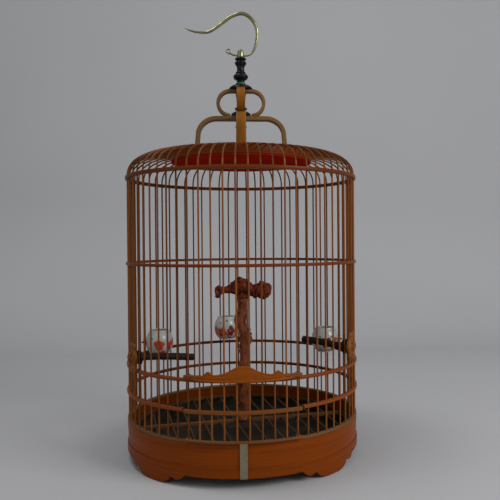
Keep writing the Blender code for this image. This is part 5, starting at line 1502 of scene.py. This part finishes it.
class CAGE_OT_perches(bpy.types.Operator):
    """Build the two dark perches and the carved knobs that clamp them"""

    bl_idname = "cage.perches"
    bl_label = "Perches"

    def execute(self, context):
        s = context.scene.cage_sizes
        step = TURN / s.bar_count
        half_bar = 1.5 * MM
        face = (s.wall_radius - half_bar) * math.cos(step / 2) - GAP
        rows = (
            ("left", -11, 163.2, (-74.4, -60.2, 157.6)),
            ("right", 11, 174.6, (94.0, -37.3, 178.4)),
        )
        for side, place, level, tip in rows:
            angle = place * step
            self.perch(side, angle, face, level * MM, [v * MM for v in tip])
            self.knob(side, angle, level * MM)
        return {"FINISHED"}

    def perch(self, side, angle, face, level, tip):
        """A stem through the wall, a collar with its face on the bars and a dark stick that runs to the tip."""
        collar = (
            (0.25, 3.2), (0.0, 9.6), (-0.5, 10.5), (-3.2, 10.5), (-3.8, 9.2), (-4.1, 5.5), (-8.0, 5.3), (-13.8, 5.3),
        )
        stem_reach, bow, taper, tip_size, tip_round = (v * MM for v in (6.5, 0.6, 0.1, 4.7, 0.5))
        points = [around(angle, KNOB_BACK + stem_reach, level)]
        points += [around(angle, face + out * MM, level) for out, size in collar]
        sizes = [collar[0][1] * MM, *(size * MM for out, size in collar)]
        thick = sizes[-1]
        start, end = points[-1], Vector(tip)
        for i in range(1, 25):
            share = i / 24
            place = start.lerp(end, share)
            place.z += bow * math.sin(math.pi * share)
            points.append(place)
            sizes.append(thick - taper * share)
        points.append(end + (end - start).normalized() * tip_round)
        sizes.append(tip_size)
        bark_starts = 158.0 * MM

        def bark(point):
            if Vector((point.x, point.y)).length > bark_starts:
                return 0.0
            return 0.45 * MM * noise.noise(point * 140.0) + 0.2 * MM * noise.noise(point * 420.0) - 0.15 * MM

        form = stick(Form(), points, sizes, 20, bark)
        settle(side + "_perch", form, "perch_wood", "ebony", "perch_" + side, sharp=45.0)

    def knob(self, side, angle, level):
        """A carved rosette: lobes round a raised eye, hollowed between the petals."""
        thick = 7.5 * MM
        wide, high = 13.5 * MM, 22.0 * MM
        out = around(angle, 1.0)
        across = Vector((math.cos(angle), math.sin(angle), 0.0))
        up = Vector((0.0, 0.0, 1.0))
        centre = around(angle, KNOB_BACK, level)
        steps, rings = 96, 18
        points = []
        fibre = []

        def put(share, turn, depth):
            swell = 1.0 + 0.10 * math.cos(6 * turn)
            a = wide * swell * share * math.cos(turn)
            b = high * swell * share * math.sin(turn)
            points.append(tuple(centre + across * a + up * b + out * depth))
            fibre.append((b, a, depth))

        for r in range(1, rings + 1):
            share = r / rings
            for k in range(steps):
                turn = TURN * k / steps
                petal = 0.5 + 0.5 * math.cos(6 * turn)
                body = thick * (0.62 + 0.30 * math.sin(math.pi * min(share, 1.0)) * petal)
                eye = thick * 0.38 * math.exp(-((share / 0.24) ** 2))
                groove = thick * 0.22 * math.exp(-(((share - 0.36) / 0.07) ** 2))
                edge = max(0.0, (share - 0.86) / 0.14)
                depth = body + eye - groove - thick * 0.34 * edge**2
                put(share, turn, min(depth, thick) if share < 1.0 else thick * 0.42)
        for share, depth in ((1.0, 0.12), (0.96, 0.0)):
            for k in range(steps):
                put(share, TURN * k / steps, thick * depth)
        faces = []
        last = rings + 1
        for r in range(last):
            for k in range(steps):
                m = (k + 1) % steps
                faces.append([r * steps + k, r * steps + m, (r + 1) * steps + m, (r + 1) * steps + k])
        faces.append(list(range(steps))[::-1])
        faces.append([last * steps + k for k in range(steps)])
        form = Form().add(points, faces, [[fibre[i] for i in face] for face in faces])
        node = "perch_knob_" + side
        settle(side + "_knob", form, "knob_wood", "knob_wood", node, body="knob_" + side, sharp=50.0)


class CAGE_OT_stand(bpy.types.Operator):
    """Build the root-wood stand in the middle of the floor"""

    bl_idname = "cage.stand"
    bl_label = "Stand"

    def execute(self, context):
        self.post()
        self.head()
        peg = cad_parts["stand_peg"]
        peg.data.materials.clear()
        peg.data.materials.append(finish("bar_bamboo"))
        return {"FINISHED"}

    def burls(self, form, rows):
        """Small rough lumps that grow out of the wood, each a place and a radius in millimetres."""
        for x, y, z, r in rows:
            centre = Vector((x, y, z)) * MM
            radius = r * MM
            turns = [math.pi * (0.04 + 0.92 * i / 10) for i in range(11)]
            points = [centre - Vector((0.0, 0.0, radius * 1.15 * math.cos(turn))) for turn in turns]

            def skin(point):
                return radius * (0.55 * noise.noise(point * 260.0) + 0.25 * noise.noise(point * 620.0))

            stick(form, points, [radius * math.sin(turn) for turn in turns], 18, skin)

    def post(self):
        """The crooked post, with ridged bark."""
        low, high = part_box("stand_post")
        tall = high.z - low.z
        radius = 9.0 * MM
        shares = (
            (0.0, 0.0, 0.000, 1.42), (0.0, 0.0, 0.030, 1.26), (0.2, 0.0, 0.075, 0.90), (0.2, 0.1, 0.200, 0.92),
            (0.1, 0.0, 0.330, 0.86), (0.15, -0.1, 0.450, 0.90), (0.2, 0.0, 0.560, 0.84), (0.42, 0.1, 0.655, 1.10),
            (0.25, 0.0, 0.720, 0.98), (-0.10, 0.0, 0.765, 0.94), (-0.42, 0.1, 0.815, 1.14), (-0.10, 0.0, 0.880, 0.90),
            (0.0, 0.0, 0.940, 0.90), (0.0, 0.0, 1.000, 1.05),
        )
        path = smooth_path([(x * radius, y * radius, low.z + z * tall, r * radius) for x, y, z, r in shares], 9)

        def bark(point):
            ridge = noise.noise(Vector((point.x * 150, point.y * 150, point.z * 45)))
            knots = max(0.0, noise.noise(Vector((point.x * 60 + 7, point.y * 60, point.z * 55))) - 0.18)
            return 0.9 * MM * ridge + 5.5 * MM * knots + 0.25 * MM * noise.noise(point * 600.0) - 0.5 * MM

        form = path_stick(Form(), path, 36, bark)
        self.burls(form, (
            (-8.6, -2.0, 213.0, 3.6), (-9.8, -1.0, 206.5, 4.2), (-9.0, -3.0, 199.5, 3.6), (-7.0, -4.5, 221.0, 2.8),
            (9.2, -2.0, 189.0, 3.4), (10.2, -1.0, 182.0, 4.2), (10.6, -2.0, 174.5, 4.0), (9.0, -3.0, 167.5, 3.2),
            (-8.4, 1.0, 176.0, 2.8), (-8.0, -3.0, 164.0, 3.0), (7.6, 4.0, 128.0, 3.4), (-6.0, 6.0, 100.0, 3.6),
        ))
        settle("root_post", form, "root_wood", "root_wood", "stand_post", sharp=60.0)

    def head(self):
        """The gnarled perch head on top of the post, with the neck that joins them."""
        half, thick = 45.5 * MM, 11.2 * MM
        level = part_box("stand_post")[1].z + GAP + thick
        shares = (
            (-0.97, 0.05, -0.15, 0.36), (-0.91, 0.06, -0.08, 0.74), (-0.80, 0.04, 0.12, 0.62),
            (-0.62, 0.00, 0.22, 0.46), (-0.45, 0.05, 0.30, 0.66), (-0.25, 0.10, 0.50, 1.04), (-0.05, 0.10, 0.70, 1.26),
            (0.15, 0.05, 0.35, 1.14), (0.35, 0.00, 0.05, 0.86), (0.55, -0.10, 0.15, 1.02), (0.75, -0.05, 0.15, 1.14),
            (0.92, 0.00, 0.25, 0.92), (1.00, 0.05, 0.20, 0.45),
        )
        path = smooth_path([(x * half, y * thick, level + z * thick, r * thick) for x, y, z, r in shares], 8)

        def gnarl(point):
            lumps = noise.noise(point * 85.0)
            knots = max(0.0, noise.noise(point * 130.0 + Vector((3.0, 1.0, 5.0))) - 0.15)
            return 2.2 * MM * lumps + 4.5 * MM * knots + 0.3 * MM * noise.noise(point * 500.0) - 0.4 * MM

        form = path_stick(Form(), path, 32, gnarl)
        self.burls(form, (
            (-39.0, -3.0, 245.5, 4.4), (-36.0, -5.0, 256.0, 4.0), (-14.0, -6.0, 262.0, 5.0), (-4.0, -5.0, 268.5, 5.5),
            (9.0, -6.0, 262.0, 5.0), (22.0, -6.0, 257.0, 4.6), (30.0, -5.0, 262.0, 5.2), (38.0, -4.0, 257.0, 5.2),
            (34.0, -6.0, 243.5, 5.0), (20.0, -7.0, 245.0, 4.6), (41.0, -2.0, 248.0, 4.6),
        ))
        seat = level - thick
        neck = ((0.0, 0.96), (0.3, 0.92), (0.7, 0.84), (1.2, 0.70))
        path_stick(form, [(0.0, 0.0, seat + z * thick, r * thick) for z, r in neck], 32, gnarl)
        settle("root_head", form, "head_wood", "root_wood", "stand_head", sharp=60.0)


# Stage


class CAGE_OT_stage(bpy.types.Operator):
    """Set up the floor, the backdrop, the soft lights and the camera"""

    bl_idname = "cage.stage"
    bl_label = "Stage"

    def execute(self, context):
        scene = context.scene
        scene.view_settings.view_transform = "Standard"
        self.backdrop(scene)
        self.light("key_light", (1.8, -1.3, 1.4), 1.1, 36.0)
        self.light("fill_light", (-1.7, -1.1, 0.9), 1.2, 3.0)
        self.light("top_light", (-0.5, -0.1, 1.9), 0.5, 7.0)
        world = scene.world or bpy.data.worlds.new("studio")
        scene.world = world
        world.use_nodes = True
        back = world.node_tree.nodes["Background"]
        back.inputs["Color"].default_value = (0.95, 0.97, 1.0, 1.0)
        back.inputs["Strength"].default_value = 0.38
        self.camera(scene)
        return {"FINISHED"}

    def camera(self, scene):
        """Stands where the photo was taken from: its lens, its place and its pan, tilt and roll in degrees."""
        lens = bpy.data.cameras.new("photo_camera")
        lens.sensor_width = 36.0
        lens.lens = 1.28 * lens.sensor_width
        lens.shift_x = -0.07
        camera = bpy.data.objects.new("photo_camera", lens)
        scene.collection.objects.link(camera)
        stand = Matrix.Translation((0.0, -1.026, 0.3276))
        pan, tilt, roll = (math.radians(v) for v in (-3.83, -0.63, -0.44))
        aim = Matrix.Rotation(pan, 4, "Z") @ Matrix.Rotation(math.pi / 2 + tilt, 4, "X")
        camera.matrix_world = stand @ aim @ Matrix.Rotation(roll, 4, "Z")
        scene.camera = camera

    def backdrop(self, scene):
        """One sheet: the floor runs back, bends up and becomes the wall."""
        front, foot, bend, top = -2.4, 0.9, 0.5, 3.2
        path = [(front, 0.0), (foot, 0.0)]
        for i in range(1, 25):
            turn = math.pi / 2 * i / 24
            path.append((foot + bend * math.sin(turn), bend - bend * math.cos(turn)))
        path.append((foot + bend, top))
        points = [(x, y, z) for y, z in path for x in (-3.5, 3.5)]
        faces = [[2 * i, 2 * i + 1, 2 * i + 3, 2 * i + 2] for i in range(len(path) - 1)]
        mesh = bpy.data.meshes.new("backdrop")
        mesh.from_pydata(points, [], faces)
        mesh.shade_smooth()
        sheet = bpy.data.objects.new("backdrop", mesh)
        scene.collection.objects.link(sheet)
        made, wires, shader = new_finish("backdrop_paper")
        cloud = wires.band(wires.grain(wires.place(), 1.5, 2.0), 0.2, 0.8)
        ground = scene.cage_colours.ground
        wires.fill(shader, {
            "Base Color": wires.blend(cloud, rgb(ground, 0.97), rgb(ground, 1.03)),
            "Roughness": 0.85,
        })
        mesh.materials.append(made)

    def light(self, name, place, size, power):
        """A soft square light that faces the middle of the cage."""
        lamp = bpy.data.lights.new(name, "AREA")
        lamp.shape = "SQUARE"
        lamp.size = size
        lamp.energy = power
        obj = bpy.data.objects.new(name, lamp)
        bpy.context.scene.collection.objects.link(obj)
        spot = Vector(place)
        obj.location = spot
        obj.rotation_euler = (Vector((0.0, 0.0, 0.3)) - spot).to_track_quat("-Z", "Y").to_euler()


STEPS = (
    CAGE_OT_wall_bars,
    CAGE_OT_hoops,
    CAGE_OT_base,
    CAGE_OT_floor,
    CAGE_OT_crown,
    CAGE_OT_handle,
    CAGE_OT_turned_stack,
    CAGE_OT_hook,
    CAGE_OT_door,
    CAGE_OT_cups,
    CAGE_OT_perches,
    CAGE_OT_stand,
    CAGE_OT_stage,
)


class CAGE_PT_pieces(bpy.types.Panel):
    """Lists the cage's sizes, colours and pieces"""

    bl_label = "Bird Cage"
    bl_idname = "CAGE_PT_pieces"
    bl_space_type = "VIEW_3D"
    bl_region_type = "UI"
    bl_category = "Bird Cage"

    def draw(self, context):
        for group in (context.scene.cage_sizes, context.scene.cage_colours):
            column = self.layout.column(align=True)
            for key in group.__annotations__:
                column.prop(group, key)
        for step in STEPS:
            self.layout.operator(step.bl_idname)


CLASSES = (CageSizes, CageColours, *STEPS, CAGE_PT_pieces)


def register():
    for cls in CLASSES:
        bpy.utils.register_class(cls)
    bpy.types.Scene.cage_sizes = PointerProperty(type=CageSizes)
    bpy.types.Scene.cage_colours = PointerProperty(type=CageColours)


def unregister():
    del bpy.types.Scene.cage_colours
    del bpy.types.Scene.cage_sizes
    for cls in reversed(CLASSES):
        bpy.utils.unregister_class(cls)


def main():
    register()
    for step in STEPS:
        group, name = step.bl_idname.split(".")
        getattr(getattr(bpy.ops, group), name)()


if __name__ == "__main__":
    main()
